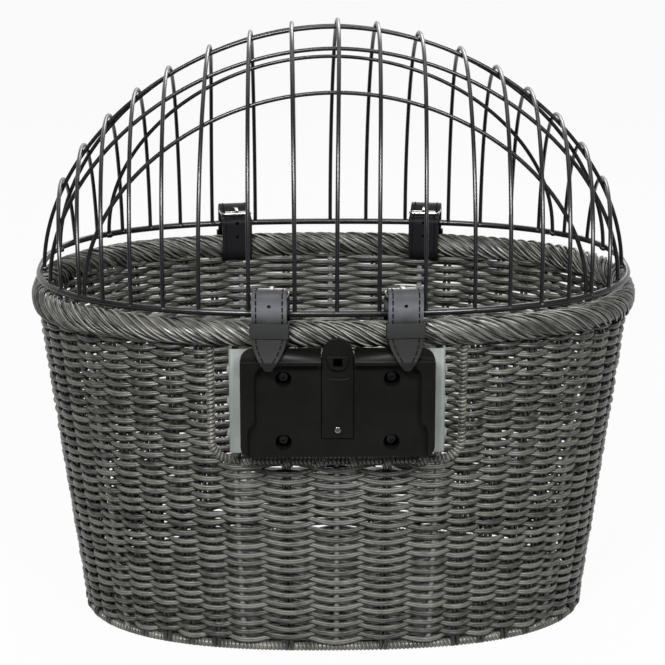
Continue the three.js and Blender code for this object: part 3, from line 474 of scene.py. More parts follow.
def wall_path(places, heights, offsets):
    angle = np.interp(np.mod(places, ROUND), MID_LENGTHS, TURN)
    rows = []
    for turn, height, offset in zip(angle, heights, offsets):
        oval = wall_oval(height)
        x, y = oval_points(turn, oval)
        nx, ny = oval_normals(x, y, oval)
        rows.append((x + nx * offset, y + ny * offset, height))
    return np.array(rows)


# %% Draw the stakes
ROD_RADIUS = 0.0024
ROD_FOOT = 0.003
STAKE_RADIUS = 0.0015
STAKE_POINTS = 12
STAKE_START = 0.006
STAKE_RISE = 0.004
WINDOW_TUCK = 0.001
PAIR_HALF = 0.00185
HOOK_HEIGHTS = (0.0018, 0.0036, 0.0062, 0.0095)
HOOK_OUT = (0.0020, 0.0034, 0.0032, 0.0010)
rods, pairs = [], []
for number, place in enumerate(stake_places):
    top = WINDOW_BOTTOM - WINDOW_TUCK if number in WINDOW_STAKES else wall_high.z + STAKE_RISE
    heights = np.linspace(wall_low.z + STAKE_START, top, STAKE_POINTS)
    level = np.zeros(STAKE_POINTS)
    if number in PALE_STAKES:
        heights[0] = wall_low.z - ROD_FOOT
        rods.append(wall_path(np.full(STAKE_POINTS, place), heights, level))
        continue
    heights = np.concatenate([HOOK_HEIGHTS, heights])
    offsets = np.concatenate([HOOK_OUT, level])
    for side in (-PAIR_HALF, PAIR_HALF):
        pairs.append(wall_path(np.full(len(heights), place + side), heights, offsets))
# The rods take the darker copy of the pale coat, painted shade from the weave around them.
draw_wires("wall_rods", rods, ROD_RADIUS, "basket", "pale_steel", rod_coat)
draw_wires("wall_stakes", pairs, STAKE_RADIUS, "basket", "cane", stake_cane, "wicker_wall")

# %% [markdown]
# ## Weavers
# Each weaver goes once round the tub, in front of one stake and behind the next, and the weaver above
# it does the opposite. In section that is a wave, so one cosine per bay gives the path. In the wide bays
# of the near side a weaver dips where it comes out over a stake. On the far side the cane is a little
# fuller, which closes the weave. Seeded noise moves each row a little, as no hand packs every row alike.
# Rows that meet the window stop at its border. Bands of rows keep each mesh small.

# %% Weaver paths
ROW_PITCH = 0.00355
FIRST_ROW = 0.003
SWING = 0.0030
SWING_SPREAD = 0.1
FLATNESS = 0.75
ROW_WOBBLE = 0.00022
DIP = 0.0022
BAY_POINTS = 8
WEAVER = (0.0014, 0.0021)
CROSSING = 0.92
STAKE_SWELL = 1.06
FAR_SWELL = 0.08
BORDER_COVER = 0.0035
bay_ends = np.append(stake_places, ROUND)
bays = np.diff(bay_ends)
bay_share = np.arange(BAY_POINTS) / BAY_POINTS
row_places = (bay_ends[:-1, None] + bays[:, None] * bay_share).ravel()
row_phase = (np.arange(STAKES)[:, None] + bay_share).ravel()


def along_row(stake_values):
    return np.interp(row_phase, np.arange(STAKES + 1), stake_values)


near_share = (1 + np.cos(tau * stake_places / ROUND)) / 2
stake_dip = DIP * near_share * ((bays + np.roll(bays, 1)) / 2 / bays.max()) ** 2
row_dip = along_row(np.append(stake_dip, stake_dip[0]))
row_near = along_row(np.append(near_share, near_share[0]))
row_swell = CROSSING + (STAKE_SWELL - CROSSING) * np.abs(np.cos(pi * row_phase))
row_swell *= 1 + FAR_SWELL * (1 - row_near)


def window_half(height):
    if height < WINDOW_BOTTOM - BORDER_COVER:
        return 0.0
    drop = min(max(0.0, WINDOW_BOTTOM + WINDOW_CORNER - height), WINDOW_CORNER)
    return WINDOW_HALF - WINDOW_CORNER + sqrt(WINDOW_CORNER**2 - drop**2)


def weaver_path(row, height):
    waves = [rng.uniform(0, tau, 4), rng.integers(3, 19, 4)]
    wobble = sum(np.sin(count * row_phase * tau / STAKES + start) for start, count in zip(*waves))
    swing = along_row(SWING * (1 + SWING_SPREAD * rng.standard_normal(STAKES + 1).clip(-2, 2)))
    wave = np.cos(pi * (row_phase + row))
    heights = height - row_dip * wave + ROW_WOBBLE * wobble
    return wall_path(row_places, heights, swing * np.sign(wave) * np.abs(wave) ** FLATNESS)


closed_rows, open_rows, open_swells = [], [], []
for row in range(int((wall_high.z - wall_low.z + FIRST_ROW) / ROW_PITCH)):
    height = wall_low.z + FIRST_ROW + row * ROW_PITCH
    path = weaver_path(row, height)
    half = window_half(height)
    if half == 0.0:
        closed_rows.append(path)
        continue
    inside = (path[:, 1] < 0) & (np.abs(path[:, 0]) < half)
    start = np.flatnonzero(inside[:-1] & ~inside[1:])[0] + 1
    order = [i for i in np.roll(np.arange(len(path)), -start) if not inside[i]]
    first, last = path[order[0]].copy(), path[order[-1]].copy()
    first[0], last[0] = half, -half
    open_rows.append(np.vstack([first, path[order], last]))
    open_swells.append(np.concatenate([[CROSSING], row_swell[order], [CROSSING]]))
print(len(closed_rows), "closed rows and", len(open_rows), "rows that stop at the window")


# %% Draw the weavers
def weave_bands(rows, swells, bands, first, closed):
    for number, band in enumerate(np.array_split(np.arange(len(rows)), bands), first):
        draw_strands(f"weavers_{number}", [rows[i] for i in band], WEAVER, weaver_cane, "wicker_wall",
                     closed=closed, swells=[swells[i] for i in band])


weave_bands(closed_rows, [row_swell] * len(closed_rows), 3, 1, True)
weave_bands(open_rows, open_swells, 2, 4, False)

# %% [markdown]
# ## The roped rim
# The ends of the stakes are turned down over each other all the way round, which makes a thick border
# that looks like a rope. It is drawn as bundles of thin canes that wind together round the rim's oval. At
# the two ends the border is pinched and sags under its own bend. A dark core fills the middle.

# %% Rope strands
BUNDLES = 9
BUNDLE_UNEVEN = 0.14
BUNDLE_CROWN = 0.0020
CANES = 3
CANE_SPACING = 0.30
CANE_RADIUS = 0.00110
CANE_WAVE = 0.0002
CANE_WAVES = 9
CANE_SCATTER = 0.00012
ROPE_TURNS = 16
ROPE_STEPS = 20
END_POWER = 6
END_SAG = 0.45
END_PINCH = 0.38
CORE_RADIUS = RIM_RADIUS - 1.6 * CANE_RADIUS - BUNDLE_CROWN
CORE_STEP = 4
steps = ROPE_TURNS * ROPE_STEPS
travel = np.arange(steps) / steps
rim_x, rim_y, rim_nx, rim_ny = along_oval(travel, RIM_OVAL)
ends = (np.abs(rim_x) / RIM_OVAL[0]) ** END_POWER
rope = []
for bundle in range(BUNDLES):
    uneven = BUNDLE_UNEVEN * (bundle % 3 - 1)
    for cane in range(CANES):
        off_middle = cane - (CANES - 1) / 2
        lag = (bundle + uneven + off_middle * CANE_SPACING) / BUNDLES
        wind = -tau * (ROPE_TURNS * travel - lag)
        lift = CANE_WAVE * np.sin(tau * (CANE_WAVES * travel + rng.random()))
        lift += CANE_SCATTER * rng.standard_normal()
        reach = RIM_RADIUS - CANE_RADIUS - BUNDLE_CROWN * off_middle**2 + lift
        out, up = reach * np.cos(wind), reach * np.sin(wind)
        out = np.where(out > 0, out * (1 - END_PINCH * ends), out)
        up = np.where(up < 0, up * (1 + END_SAG * ends), up)
        rope.append(np.c_[rim_x + rim_nx * out, rim_y + rim_ny * out, RIM_HEIGHT + up])
draw_strands("rim_rope", rope, CANE_RADIUS, rope_cane, "rim_border", closed=True)
core_path = np.c_[rim_x, rim_y, np.full(steps, RIM_HEIGHT)][::CORE_STEP]
# The core takes the stake cane, whose colour is darkened as painted shade, so the rope's gaps read dark.
draw_wires("rim_core", [core_path], CORE_RADIUS, "basket", "cane", stake_cane, "rim_border", closed=True)

# %% [markdown]
# ## Wrapped rods: the foot and the window's border
# The rod round the foot and the rod round the window are bound with cane, turn against turn. A coil is
# drawn along the rod's own path, with a pitch, a radius and a number of points per turn. At every point
# it needs the rod's direction and a side. Short coils also tie the window's border to the wall.


# %% A coil round any path
def run_lengths(points):
    return np.concatenate([[0.0], np.cumsum(np.linalg.norm(np.diff(points, axis=0), axis=1))])


def sample(points, lengths, at):
    return np.column_stack([np.interp(at, lengths, column) for column in points.T])


def unit(vectors):
    return vectors / np.linalg.norm(vectors, axis=1)[:, None]


def coil_round(points, normals, pitch, radius, steps, closed=False):
    outward = np.broadcast_to(normals, points.shape)
    if closed:
        points = np.vstack([points, points[:1]])
        outward = np.vstack([outward, outward[:1]])
    lengths = run_lengths(points)
    turns = round(lengths[-1] / pitch)
    share = np.linspace(0.0, 1.0, turns * steps, endpoint=not closed)
    at = share * lengths[-1]
    side = sample(outward, lengths, at)
    tangent = unit(sample(np.gradient(points, axis=0), lengths, at))
    side = unit(side - tangent * (side * tangent).sum(1)[:, None])
    wind = tau * turns * share[:, None]
    around = np.cos(wind) * side + np.sin(wind) * np.cross(tangent, side)
    return sample(points, lengths, at) + radius * around


# %% Foot ring
FOOT_ROD = 0.0022
FOOT_POINTS = 240
FOOT_CANE = 0.0016
FOOT_COIL = (0.0030, FOOT_RADIUS - 0.0015, 9)
foot_x, foot_y, foot_nx, foot_ny = along_oval(np.arange(FOOT_POINTS) / FOOT_POINTS, FOOT_OVAL)
foot_path = np.c_[foot_x, foot_y, np.full(FOOT_POINTS, FOOT_RADIUS)]
foot_out = np.c_[foot_nx, foot_ny, np.zeros(FOOT_POINTS)]
draw_wires("foot_rod", [foot_path], FOOT_ROD, "basket", "pale_steel", pale_coat, closed=True)
foot_coil = coil_round(foot_path, foot_out, *FOOT_COIL, closed=True)
draw_strands("foot_wrap", [foot_coil], FOOT_CANE, wrap_cane, "foot_ring", closed=True)

# %% Window border
BORDER_PROUD = 0.0012
BORDER_TOP = 0.002
BORDER_ROD = 0.0019
BORDER_CANE = 0.0015
BORDER_COIL = (0.0031, 0.0021, 10)
SIDE_POINTS = 13
CORNER_POINTS = 9
SILL_POINTS = 24
TO_RIDER = (0.0, -1.0, 0.0)
corner = np.linspace(0.0, pi / 2, CORNER_POINTS)
corner_x = WINDOW_HALF - WINDOW_CORNER + WINDOW_CORNER * np.cos(corner)
corner_z = WINDOW_BOTTOM + WINDOW_CORNER - WINDOW_CORNER * np.sin(corner)
side_z = np.linspace(window_high.z + BORDER_TOP, corner_z[0], SIDE_POINTS + 1)[:-1]
right = np.c_[np.append(np.full(SIDE_POINTS, WINDOW_HALF), corner_x), np.append(side_z, corner_z)]
sill_x = np.linspace(corner_x[-1], -corner_x[-1], SILL_POINTS + 2)[1:-1]
sill = np.c_[sill_x, np.full(SILL_POINTS, WINDOW_BOTTOM)]
outline = np.vstack([right, sill, right[::-1] * (-1, 1)])


def near_wall(x, height):
    return -oval_reach(x, *wall_oval(height)) - BORDER_PROUD


border_path = np.array([(x, near_wall(x, z), z) for x, z in outline])
draw_wires("window_rod", [border_path], BORDER_ROD, "basket", "cane", stake_cane, "window_border")
border_coil = coil_round(border_path, TO_RIDER, *BORDER_COIL)
draw_strands("window_wrap", [border_coil], BORDER_CANE, wrap_cane, "window_border")

# %% Ties that bind the border to the wall
TIE_PLACES = (-0.066, -0.037, -0.013, 0.012, 0.037, 0.063)
TIE_HALF = 0.0035
TIE_LEAN = (-0.0012, 0.0006)
TIE_POINTS = 9
TIE_CANE = 0.0013
TIE_COIL = (0.0027, 0.0038, 12)
ties = []
for place in TIE_PLACES:
    x = np.linspace(place - TIE_HALF, place + TIE_HALF, TIE_POINTS)
    z = WINDOW_BOTTOM + np.linspace(*TIE_LEAN, TIE_POINTS)
    tie_path = np.c_[x, near_wall(x, WINDOW_BOTTOM), z]
    ties.append(coil_round(tie_path, TO_RIDER, *TIE_COIL))
draw_strands("window_ties", ties, TIE_CANE, wrap_cane)

# %% [markdown]
# ## The woven floor
# The floor is woven flat: thin rods run from near to far, and cane passes over and under them from end
# to end. Each strand is cut where the oval of the foot ends. Two canes twined round each other close the
# edge, so that no light comes through between the floor and the wall.

# %% Floor weave
FLOOR_PITCH = 0.0034
FLOOR_BAY = 0.026
FLOOR_WAVE = 0.0010
FLOOR_STEPS = 6
FLOOR_ROD = 0.0011
FLOOR_CANE = (0.0023, 0.0014)
SIDE_RODS = 7
base_low, base_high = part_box("wicker_base")
FLOOR_MIDDLE = (base_low.z + base_high.z) / 2
floor_rods = []
for place in np.arange(-SIDE_RODS, SIDE_RODS + 1) * FLOOR_BAY:
    reach = oval_reach(place, base_high.x, base_high.y, FOOT_POWER)
    floor_rods.append([(place, -reach, FLOOR_MIDDLE), (place, reach, FLOOR_MIDDLE)])
floor_cane = []
floor_rows = int(base_high.y / FLOOR_PITCH)
for row in range(-floor_rows, floor_rows + 1):
    across = row * FLOOR_PITCH
    reach = oval_reach(across, base_high.y, base_high.x, FOOT_POWER)
    if reach < FLOOR_BAY:
        continue
    x = np.arange(-reach, reach, FLOOR_BAY / FLOOR_STEPS)
    wave = FLOOR_WAVE * np.cos(pi * (x / FLOOR_BAY + row))
    floor_cane.append(np.c_[x, np.full(len(x), across), FLOOR_MIDDLE + wave])
draw_wires("floor_rods", floor_rods, FLOOR_ROD, "basket", "cane", stake_cane, "wicker_base")
draw_strands("floor_weave", floor_cane, FLOOR_CANE, weaver_cane, "wicker_base")

# %% Twined edge of the floor
EDGE_TURNS = 70
EDGE_STEPS = 10
EDGE_RADIUS = 0.0011
EDGE_CANE = 0.0016
BASE_OVAL = (base_high.x, base_high.y, FOOT_POWER)
edge_share = np.arange(EDGE_TURNS * EDGE_STEPS) / (EDGE_TURNS * EDGE_STEPS)
edge_x, edge_y, edge_nx, edge_ny = along_oval(edge_share, BASE_OVAL)
edge_canes = []
for half_turn in (0.0, pi):
    wind = tau * EDGE_TURNS * edge_share + half_turn
    out, up = EDGE_RADIUS * np.cos(wind), EDGE_RADIUS * np.sin(wind)
    edge_canes.append(np.c_[edge_x + edge_nx * out, edge_y + edge_ny * out, FLOOR_MIDDLE + up])
draw_strands("floor_edge", edge_canes, EDGE_CANE, weaver_cane, "wicker_base", closed=True)

# %% [markdown]
# ## The wire dome
# The lid is welded wire: a thick ring, hoops that run from near to far, and arches that run from end to
# end under the hoops. Each wire is drawn along the curve that it is bent to. The wires are bent by hand,
# so the outer hoops lean outwards and some crests and arches sit a little off, as they do in the photo.
# The hoops sink into the ring slightly, as a weld does, and a small bead of weld closes each foot.

# %% Dome shape
LID_POWER = 2.5
RISE_POWER = 1.88
HOOP_POWER = 2.15
LID_TILT = radians(1.31)
LID_HALF_DEPTH = 0.153
LID_RISE = 0.191
RING_RADIUS = 0.0025
WIRE_RADIUS = 0.0016
ring_low, ring_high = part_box("lid_ring")
LID_OVAL = (ring_high.x - RING_RADIUS, LID_HALF_DEPTH, LID_POWER)
LID_CENTRE = (ring_low.z + ring_high.z) / 2
tilt = np.array(Matrix.Rotation(LID_TILT, 3, "X"))


def lid_place(points):
    return np.asarray(points) @ tilt.T + (0.0, 0.0, LID_CENTRE)


def dome_rise(x):
    return oval_reach(x, LID_OVAL[0], LID_RISE, RISE_POWER)


weld_places = []


def lid_wire(node, path):
    weld_places.extend((path[0], path[-1]))
    draw_wires(node.replace("lid_", "wire_"), [path], WIRE_RADIUS, "lid", "black_wire", wire_coat, node)


# %% Ring and hoops
RING_POINTS = 240
HOOP_POINTS = 65
HOOP_SPREAD = 0.005
FAR_SPREAD = 0.008
SPREAD_POWER = 3
CREST_NUDGE = {-3: 0.0050, -1: -0.0015, 0: 0.0035, 1: 0.0035, 2: 0.0030, 3: -0.0015}
ring_x, ring_y = oval_points(np.linspace(0, tau, RING_POINTS, endpoint=False), LID_OVAL)
ring_path = lid_place(np.c_[ring_x, ring_y, np.zeros(RING_POINTS)])
draw_wires("ring_wire", [ring_path], RING_RADIUS, "lid", "black_wire", wire_coat, "lid_ring", closed=True)
hoops = sorted(name for name in frame["nodes"] if name.startswith("lid_hoop_"))
angle = np.linspace(0.0, pi, HOOP_POINTS)
arc = np.sin(angle)
across = np.sign(np.cos(angle)) * np.abs(np.cos(angle)) ** (2 / HOOP_POWER)
for from_middle, node in enumerate(hoops, -(len(hoops) // 2)):
    low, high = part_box(node)
    middle = (low.x + high.x) / 2
    outward = abs(middle / LID_OVAL[0]) ** SPREAD_POWER * copysign(1.0, middle)
    x = middle + outward * (HOOP_SPREAD * arc + FAR_SPREAD * (1 - across) / 2)
    x += CREST_NUDGE.get(from_middle, 0.0) * arc**2
    rise = dome_rise(x) * arc.clip(0) ** (2 / HOOP_POWER)
    lid_wire(node, lid_place(np.c_[x, -oval_reach(x, *LID_OVAL) * across, rise]))

# %% Arches
ARCH_POINTS = 81
ARCH_DROP = 0.0027
ARCH_FLARE = 0.2
ARCH_INSET = 0.0032
ARCH_OVAL = (LID_OVAL[0] - ARCH_INSET, LID_OVAL[1] - ARCH_INSET, LID_POWER)
ARCH_OFFSETS = (-0.095, -0.055, -0.010, 0.044, 0.096)
ARCH_SCALE = (LID_RISE - ARCH_DROP) / LID_RISE
NO_DEPTH = 1e-6
sweep = np.sin(np.linspace(-pi / 2, pi / 2, ARCH_POINTS))
for number, offset in enumerate(ARCH_OFFSETS, 1):
    end = offset * (1 + ARCH_FLARE * (1 - abs(offset) / LID_OVAL[1]))
    x = oval_reach(end, ARCH_OVAL[1], ARCH_OVAL[0], LID_POWER) * sweep
    y = offset + (end - offset) * sweep**2
    depth = np.maximum(oval_reach(x, *ARCH_OVAL), NO_DEPTH)
    share = np.minimum(1.0, np.abs(y) / depth)
    crest = dome_rise(x * LID_OVAL[0] / ARCH_OVAL[0]) * ARCH_SCALE
    z = crest * (1 - share**HOOP_POWER) ** (1 / HOOP_POWER)
    lid_wire(f"lid_arch_{number}", lid_place(np.c_[x, y, z]))

# %% Weld beads
BEAD_RADIUS = 0.0027
BEAD_SHAPE = (1.15, 1.0, 0.8)
BEAD_LUMPS = 0.16
bpy.ops.mesh.primitive_ico_sphere_add(subdivisions=2, radius=BEAD_RADIUS)
bead = bpy.context.object
beads = []
for place in weld_places:
    mesh = bead.data.copy()
    lumps = 1 + BEAD_LUMPS * rng.standard_normal((len(mesh.vertices), 1)).clip(-1.5, 1.5)
    shape = np.array([v.co for v in mesh.vertices]) * lumps * BEAD_SHAPE + place
    mesh.vertices.foreach_set("co", shape.ravel())
    beads.append(add_object("bead", mesh))
bpy.data.objects.remove(bead)
weld_beads = join_all(beads, "weld_beads")
settle(weld_beads, "lid", "black_wire", wire_coat)

# %% [markdown]
# ## Moulded and pressed pieces
# The adapter plate, its tongue, the bracket, the keepers and the prongs already have their true shape in
# CAD. What the solids lack is what a mould or a press leaves: rounded edges. A copy of the CAD mesh is
# merged, its flat triangles are dissolved into whole faces, and a bevel runs along the sharp edges. The
# plate's outer front edge gets a wider shoulder first. The bracket's top edge is pulled up to where it
# shows behind the plate in the photo.

# %% Round the edges of a copy
FRONT_BAND = 0.0001
FACES_OUT = 0.01
MERGE = 0.00001
FLAT = radians(2.0)
SHARP = radians(28.0)
SMOOTH = radians(40.0)
FACES_FRONT = 0.9995


def outer_front_edges(mesh):
    form = bmesh.new()
    form.from_mesh(mesh)
    front = min(vertex.co.y for vertex in form.verts)
    middle = sum((vertex.co for vertex in form.verts), Vector()) / len(form.verts)
    marks = []
    for edge in form.edges:
        on_front = all(vertex.co.y < front + FRONT_BAND for vertex in edge.verts)
        out = (edge.verts[0].co + edge.verts[1].co) / 2 - middle
        out.y = 0.0
        outside = any(face.normal.dot(out) > FACES_OUT for face in edge.link_faces)
        marks.append(float(on_front and outside))
    form.free()
    return marks


def rounded_copy(node, name, width, segments=3, shoulder=0.0):
    obj = add_object(name, frame["nodes"][node].data.copy())
    only(obj)
    bpy.ops.object.mode_set(mode="EDIT")
    bpy.ops.mesh.select_all(action="SELECT")
    bpy.ops.mesh.remove_doubles(threshold=MERGE)
    bpy.ops.mesh.dissolve_limited(angle_limit=FLAT)
    bpy.ops.object.mode_set(mode="OBJECT")
    if shoulder:
        weights = obj.data.attributes.new("bevel_weight_edge", "FLOAT", "EDGE")
        weights.data.foreach_set("value", outer_front_edges(obj.data))
        apply_modifier(obj, "BEVEL", width=shoulder, segments=6, limit_method="WEIGHT")
    apply_modifier(obj, "BEVEL", width=width, segments=segments, limit_method="ANGLE", angle_limit=SHARP)
    bpy.ops.object.shade_smooth_by_angle(angle=SMOOTH)
    for face in obj.data.polygons:
        if abs(face.normal.y) > FACES_FRONT:
            face.use_smooth = False
    return obj


# %% Plate, tongue, bracket and posts
BRACKET_LIFT = 0.003
LIFTED_BAND = 0.002
POST_RADIUS = 0.0025
POST_BELOW = 0.006
POST_ABOVE = 0.004
plate = rounded_copy("adapter_plate", "adapter_tray", 0.0013, 4, shoulder=0.004)
settle(plate, "basket", "black_plastic", plastic, "adapter_plate")
tongue = rounded_copy("release_tongue", "release_spring", 0.0006)
settle(tongue, "tongue", "black_plastic", plastic, "release_tongue")
bracket = rounded_copy("steel_bracket", "folded_bracket", 0.0005, 2)
bracket_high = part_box("steel_bracket")[1]
for vertex in bracket.data.vertices:
    if vertex.co.z > bracket_high.z - LIFTED_BAND:
        vertex.co.z += BRACKET_LIFT
settle(bracket, "basket", "pale_steel", pale_coat, "steel_bracket")
for side in ("left", "right"):
    low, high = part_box(f"frame_post_{side}")
    x = (low.x + high.x) / 2
    path = [(x, high.y - POST_RADIUS, low.z - POST_BELOW), (x, low.y + POST_RADIUS, high.z + POST_ABOVE)]
    draw_wires(f"post_rod_{side}", [path], POST_RADIUS, "basket", "pale_steel", pale_coat,
               f"frame_post_{side}")

# %% [markdown]
# Small lumps of weld join the bracket's returns to the posts. The tongue has a raised crease under its
# catch, where the thumb feels it.

# %% Bracket welds and the tongue's crease
WELD_HEIGHTS = (0.228, 0.204, 0.180)
WELD_SIZE = (0.0018, 0.0030, 0.0042)
WELD_DEPTH = -0.1515
CREASE_HALF = 0.0081
CREASE_HEIGHT = 0.2262
CREASE_BOW = 0.0009
CREASE_RADIUS = 0.0005
CREASE_POINTS = 13
TAB_STEP = 0.0025
lumps = []
for side in (-1, 1):
    for height in WELD_HEIGHTS:
        bpy.ops.mesh.primitive_uv_sphere_add(segments=16, ring_count=8, radius=1.0)
        bpy.ops.transform.resize(value=WELD_SIZE)
        bpy.ops.transform.translate(value=(side * bracket_high.x, WELD_DEPTH, height))
        bpy.ops.object.transform_apply(location=True, rotation=True, scale=True)
        lumps.append(bpy.context.object)
bracket_welds = join_all(lumps, "bracket_welds")
settle(bracket_welds, "basket", "pale_steel", pale_coat)
tongue_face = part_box("release_tongue")[0].y + TAB_STEP
crease_x = np.linspace(-CREASE_HALF, CREASE_HALF, CREASE_POINTS)
crease_z = CREASE_HEIGHT + CREASE_BOW * (crease_x / CREASE_HALF) ** 4
crease_path = np.c_[crease_x, np.full(CREASE_POINTS, tongue_face), crease_z]
draw_wires("tongue_crease", [crease_path], CREASE_RADIUS, "tongue", "black_plastic", plastic)

# %% [markdown]
# ## Screws
# Each screw starts as a flat cylinder. The top edge of the head is bevelled, a small prism is cut out of
# it for the drive, and a thinner cylinder joins it as the shank. The screw is made upright at the origin
# and then laid down into its hole.

# %% Turn the screws
HEAD_SHARE = 0.62
HEAD_ROUND = 0.3
SHANK_SHARE = 0.5
SCREW_SMOOTH = radians(35.0)


def turned_screw(name, node, drive_sides, drive_radius, drive_depth):
    low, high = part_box(node)
    head = (high.x - low.x) / 2
    head_depth = head * HEAD_SHARE
    length = high.y - low.y
    obj = add_cylinder(24, head, head_depth)
    bpy.ops.object.mode_set(mode="EDIT")
    bpy.ops.mesh.select_all(action="DESELECT")
    bpy.ops.object.mode_set(mode="OBJECT")
    for edge in obj.data.edges:
        edge.select = all(obj.data.vertices[v].co.z > 0 for v in edge.vertices)
    bpy.ops.object.mode_set(mode="EDIT")
    bpy.ops.mesh.select_mode(type="EDGE")
    bpy.ops.mesh.bevel(offset=head * HEAD_ROUND, segments=4)
    bpy.ops.object.mode_set(mode="OBJECT")
    cut_out(obj, add_cylinder(drive_sides, drive_radius, 2 * drive_depth, head_depth / 2))
    shank = add_cylinder(16, head * SHANK_SHARE, length - head_depth, -length / 2)
    join_all([obj, shank], name)
    centre = Vector(((low.x + high.x) / 2, low.y + head_depth / 2, (low.z + high.z) / 2))
    obj.data.transform(Matrix.Translation(centre) @ Matrix.Rotation(pi / 2, 4, "X"))
    bpy.ops.object.shade_smooth_by_angle(angle=SCREW_SMOOTH)
    return obj


# The plate's bolts take the darkened zinc, painted shade for their recesses; the tongue's bolt keeps the
# plain plating.
for corner_name in ("upper_left", "upper_right", "lower_left", "lower_right"):
    node = f"adapter_screw_{corner_name}"
    screw = turned_screw(f"plate_bolt_{corner_name}", node, 6, 0.0021, 0.0016)
    settle(screw, "basket", "zinc", shaded_zinc, node)
small_screw = turned_screw("tongue_bolt", "tongue_screw", 4, 0.0011, 0.0008)
settle(small_screw, "basket", "zinc", zinc, "tongue_screw")

# %% [markdown]
# ## Belts
# A belt is a flat ribbon that follows one path: round the buckle's heel bar, down the outside, under the
# rim, up the inside, under the roller, back over the heel bar and down to a pointed tip. A grid is laid
# along that path, its width drawn in at the tip, and Solidify gives it the thickness of the leather. The
# near belts' tails kick outwards, to hang in front of the adapter plate.

# %% Belt path
BELT_HALF = 0.0126
BELT_THICK = 0.0020
BELT_MIDDLE = 0.0126
BELT_SAMPLES = 160
TIP_CROWDING = 1.25
HEEL = (0.0101, 0.029)
ROLLER = (-0.0090, 0.029)
ROLLER_RADIUS = 0.0024
ROLLER_GAP = 0.0003
TAIL_MIDDLE = 0.0150
TAIL_TOP = 0.0002
TAIL_DROP = 0.0215
KICK_HANDLES = ((0.24, -0.0035), (0.84, -0.0120), (1.0, -0.0155))
TIP_LENGTH = 0.025
TIP_HALF = 0.0025
TIP_POWER = 1.8
TIP_ROUND = 0.0035
TIP_LEAST = 0.0004


def arc_points(centre, radius, start, stop, count):
    angle = np.radians(np.linspace(start, stop, count))
    return np.c_[centre[0] + radius * np.cos(angle), centre[1] + radius * np.sin(angle)]


def bezier_points(points, count):
    a, b, c, d = (np.array(point) for point in points)
    t = np.linspace(0, 1, count)[:, None]
    return a * (1 - t) ** 3 + 3 * b * t * (1 - t) ** 2 + 3 * c * t**2 * (1 - t) + d * t**3


def belt_path(kick):
    under = HEEL[1] - ROLLER_RADIUS - ROLLER_GAP - BELT_THICK / 2
    wrap = TAIL_MIDDLE - HEEL[0]
    over = HEEL[1] + wrap
    # Two bends with their handles: up the inside to the roller, then from under it to the heel bar.
    inside = [(-BELT_MIDDLE, HEEL[1] / 2), (-BELT_MIDDLE, under - 0.002),
              (ROLLER[0] - 0.004, under - 0.001), (ROLLER[0] + 0.001, under)]
    back = [inside[-1], (ROLLER[0] + 0.008, under + 0.002), (HEEL[0] - 0.006, over), (HEEL[0], over)]
    parts = [
        arc_points(HEEL, BELT_MIDDLE - HEEL[0], 180, 0, 10),
        arc_points((0, 0), BELT_MIDDLE, 0, -180, 24),
        bezier_points(inside, 10),
        bezier_points(back, 12)[1:],
        arc_points(HEEL, wrap, 90, 0, 8)[1:],
    ]
    tail = [(TAIL_MIDDLE, TAIL_TOP)]
    if kick > 0:
        tail += [(TAIL_MIDDLE + share * kick, height) for share, height in KICK_HANDLES]
        tail = bezier_points(tail, 12)
    rough = np.vstack([*parts, tail, (tail[-1][0], -TAIL_DROP)])
    lengths = run_lengths(rough)
    even = lengths[-1] * (1 - (1 - np.linspace(0, 1, BELT_SAMPLES)) ** TIP_CROWDING)
    return sample(rough, lengths, even), lengths[-1] - even


def tip_width(to_tip):
    share = np.clip(1 - to_tip / TIP_LENGTH, 0, 1)
    ogive = TIP_HALF + (BELT_HALF - TIP_HALF) * (1 - share**TIP_POWER)
    nose = np.sqrt(np.maximum(0, TIP_ROUND**2 - np.maximum(0, TIP_ROUND - to_tip) ** 2)) + TIP_LEAST
    return np.where(to_tip < TIP_ROUND, np.minimum(ogive, nose), ogive)


# %% [markdown]
# Each fastening has its own small frame on the rim: X along the rim, Y outwards, Z up from the rim's
# middle. The buckle's roller bar in CAD gives that frame's place and turn.

# %% Where each fastening stands
PLATE_GAP = 0.0014
UP = Vector((0, 0, 1))
joints = {joint["name"]: joint for joint in frame["joints"]}


def fastening(strap):
    roller = joints[f"{strap}_roller_turn"]
    along = Vector(roller["axis"]).normalized()
    out = UP.cross(along)
    place = Matrix((along, out, UP)).transposed().to_4x4()
    place.translation = Vector(roller["pos_m"]) - out * ROLLER[0] - UP * ROLLER[1]
    return place


def place_points(place, points):
    matrix = np.array(place)
    return np.asarray(points) @ matrix[:3, :3].T + matrix[:3, 3]


def tail_kick(place):
    plate_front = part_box("adapter_plate")[0].y
    out = place.to_3x3().col[1]
    skew = BELT_HALF * abs(out.x)
    return (place.translation.y - plate_front + skew + PLATE_GAP) / abs(out.y) - TAIL_MIDDLE


# %% [markdown]
# The belts are sewn along both edges with long dark stitches, which close in on each other at the tip.
# Each stitch is a short length of thread laid on the outer face. The adjusting holes are punched through
# with a cylinder.

# %% Stitches and holes
STITCH_INSET = 0.0031
STITCH_LENGTH = 0.0034
STITCH_GAP = 0.0014
FIRST_STITCH = 0.066
LAST_STITCH = 0.005
CLOSEST_STITCH = 0.0008
THREAD_RADIUS = 0.00055
HOLE_RADIUS = 0.0014
PUNCH_LENGTH = 0.0045
NEAR_HOLES = (0.0235,)
FAR_HOLES = (0.0100, 0.0215)


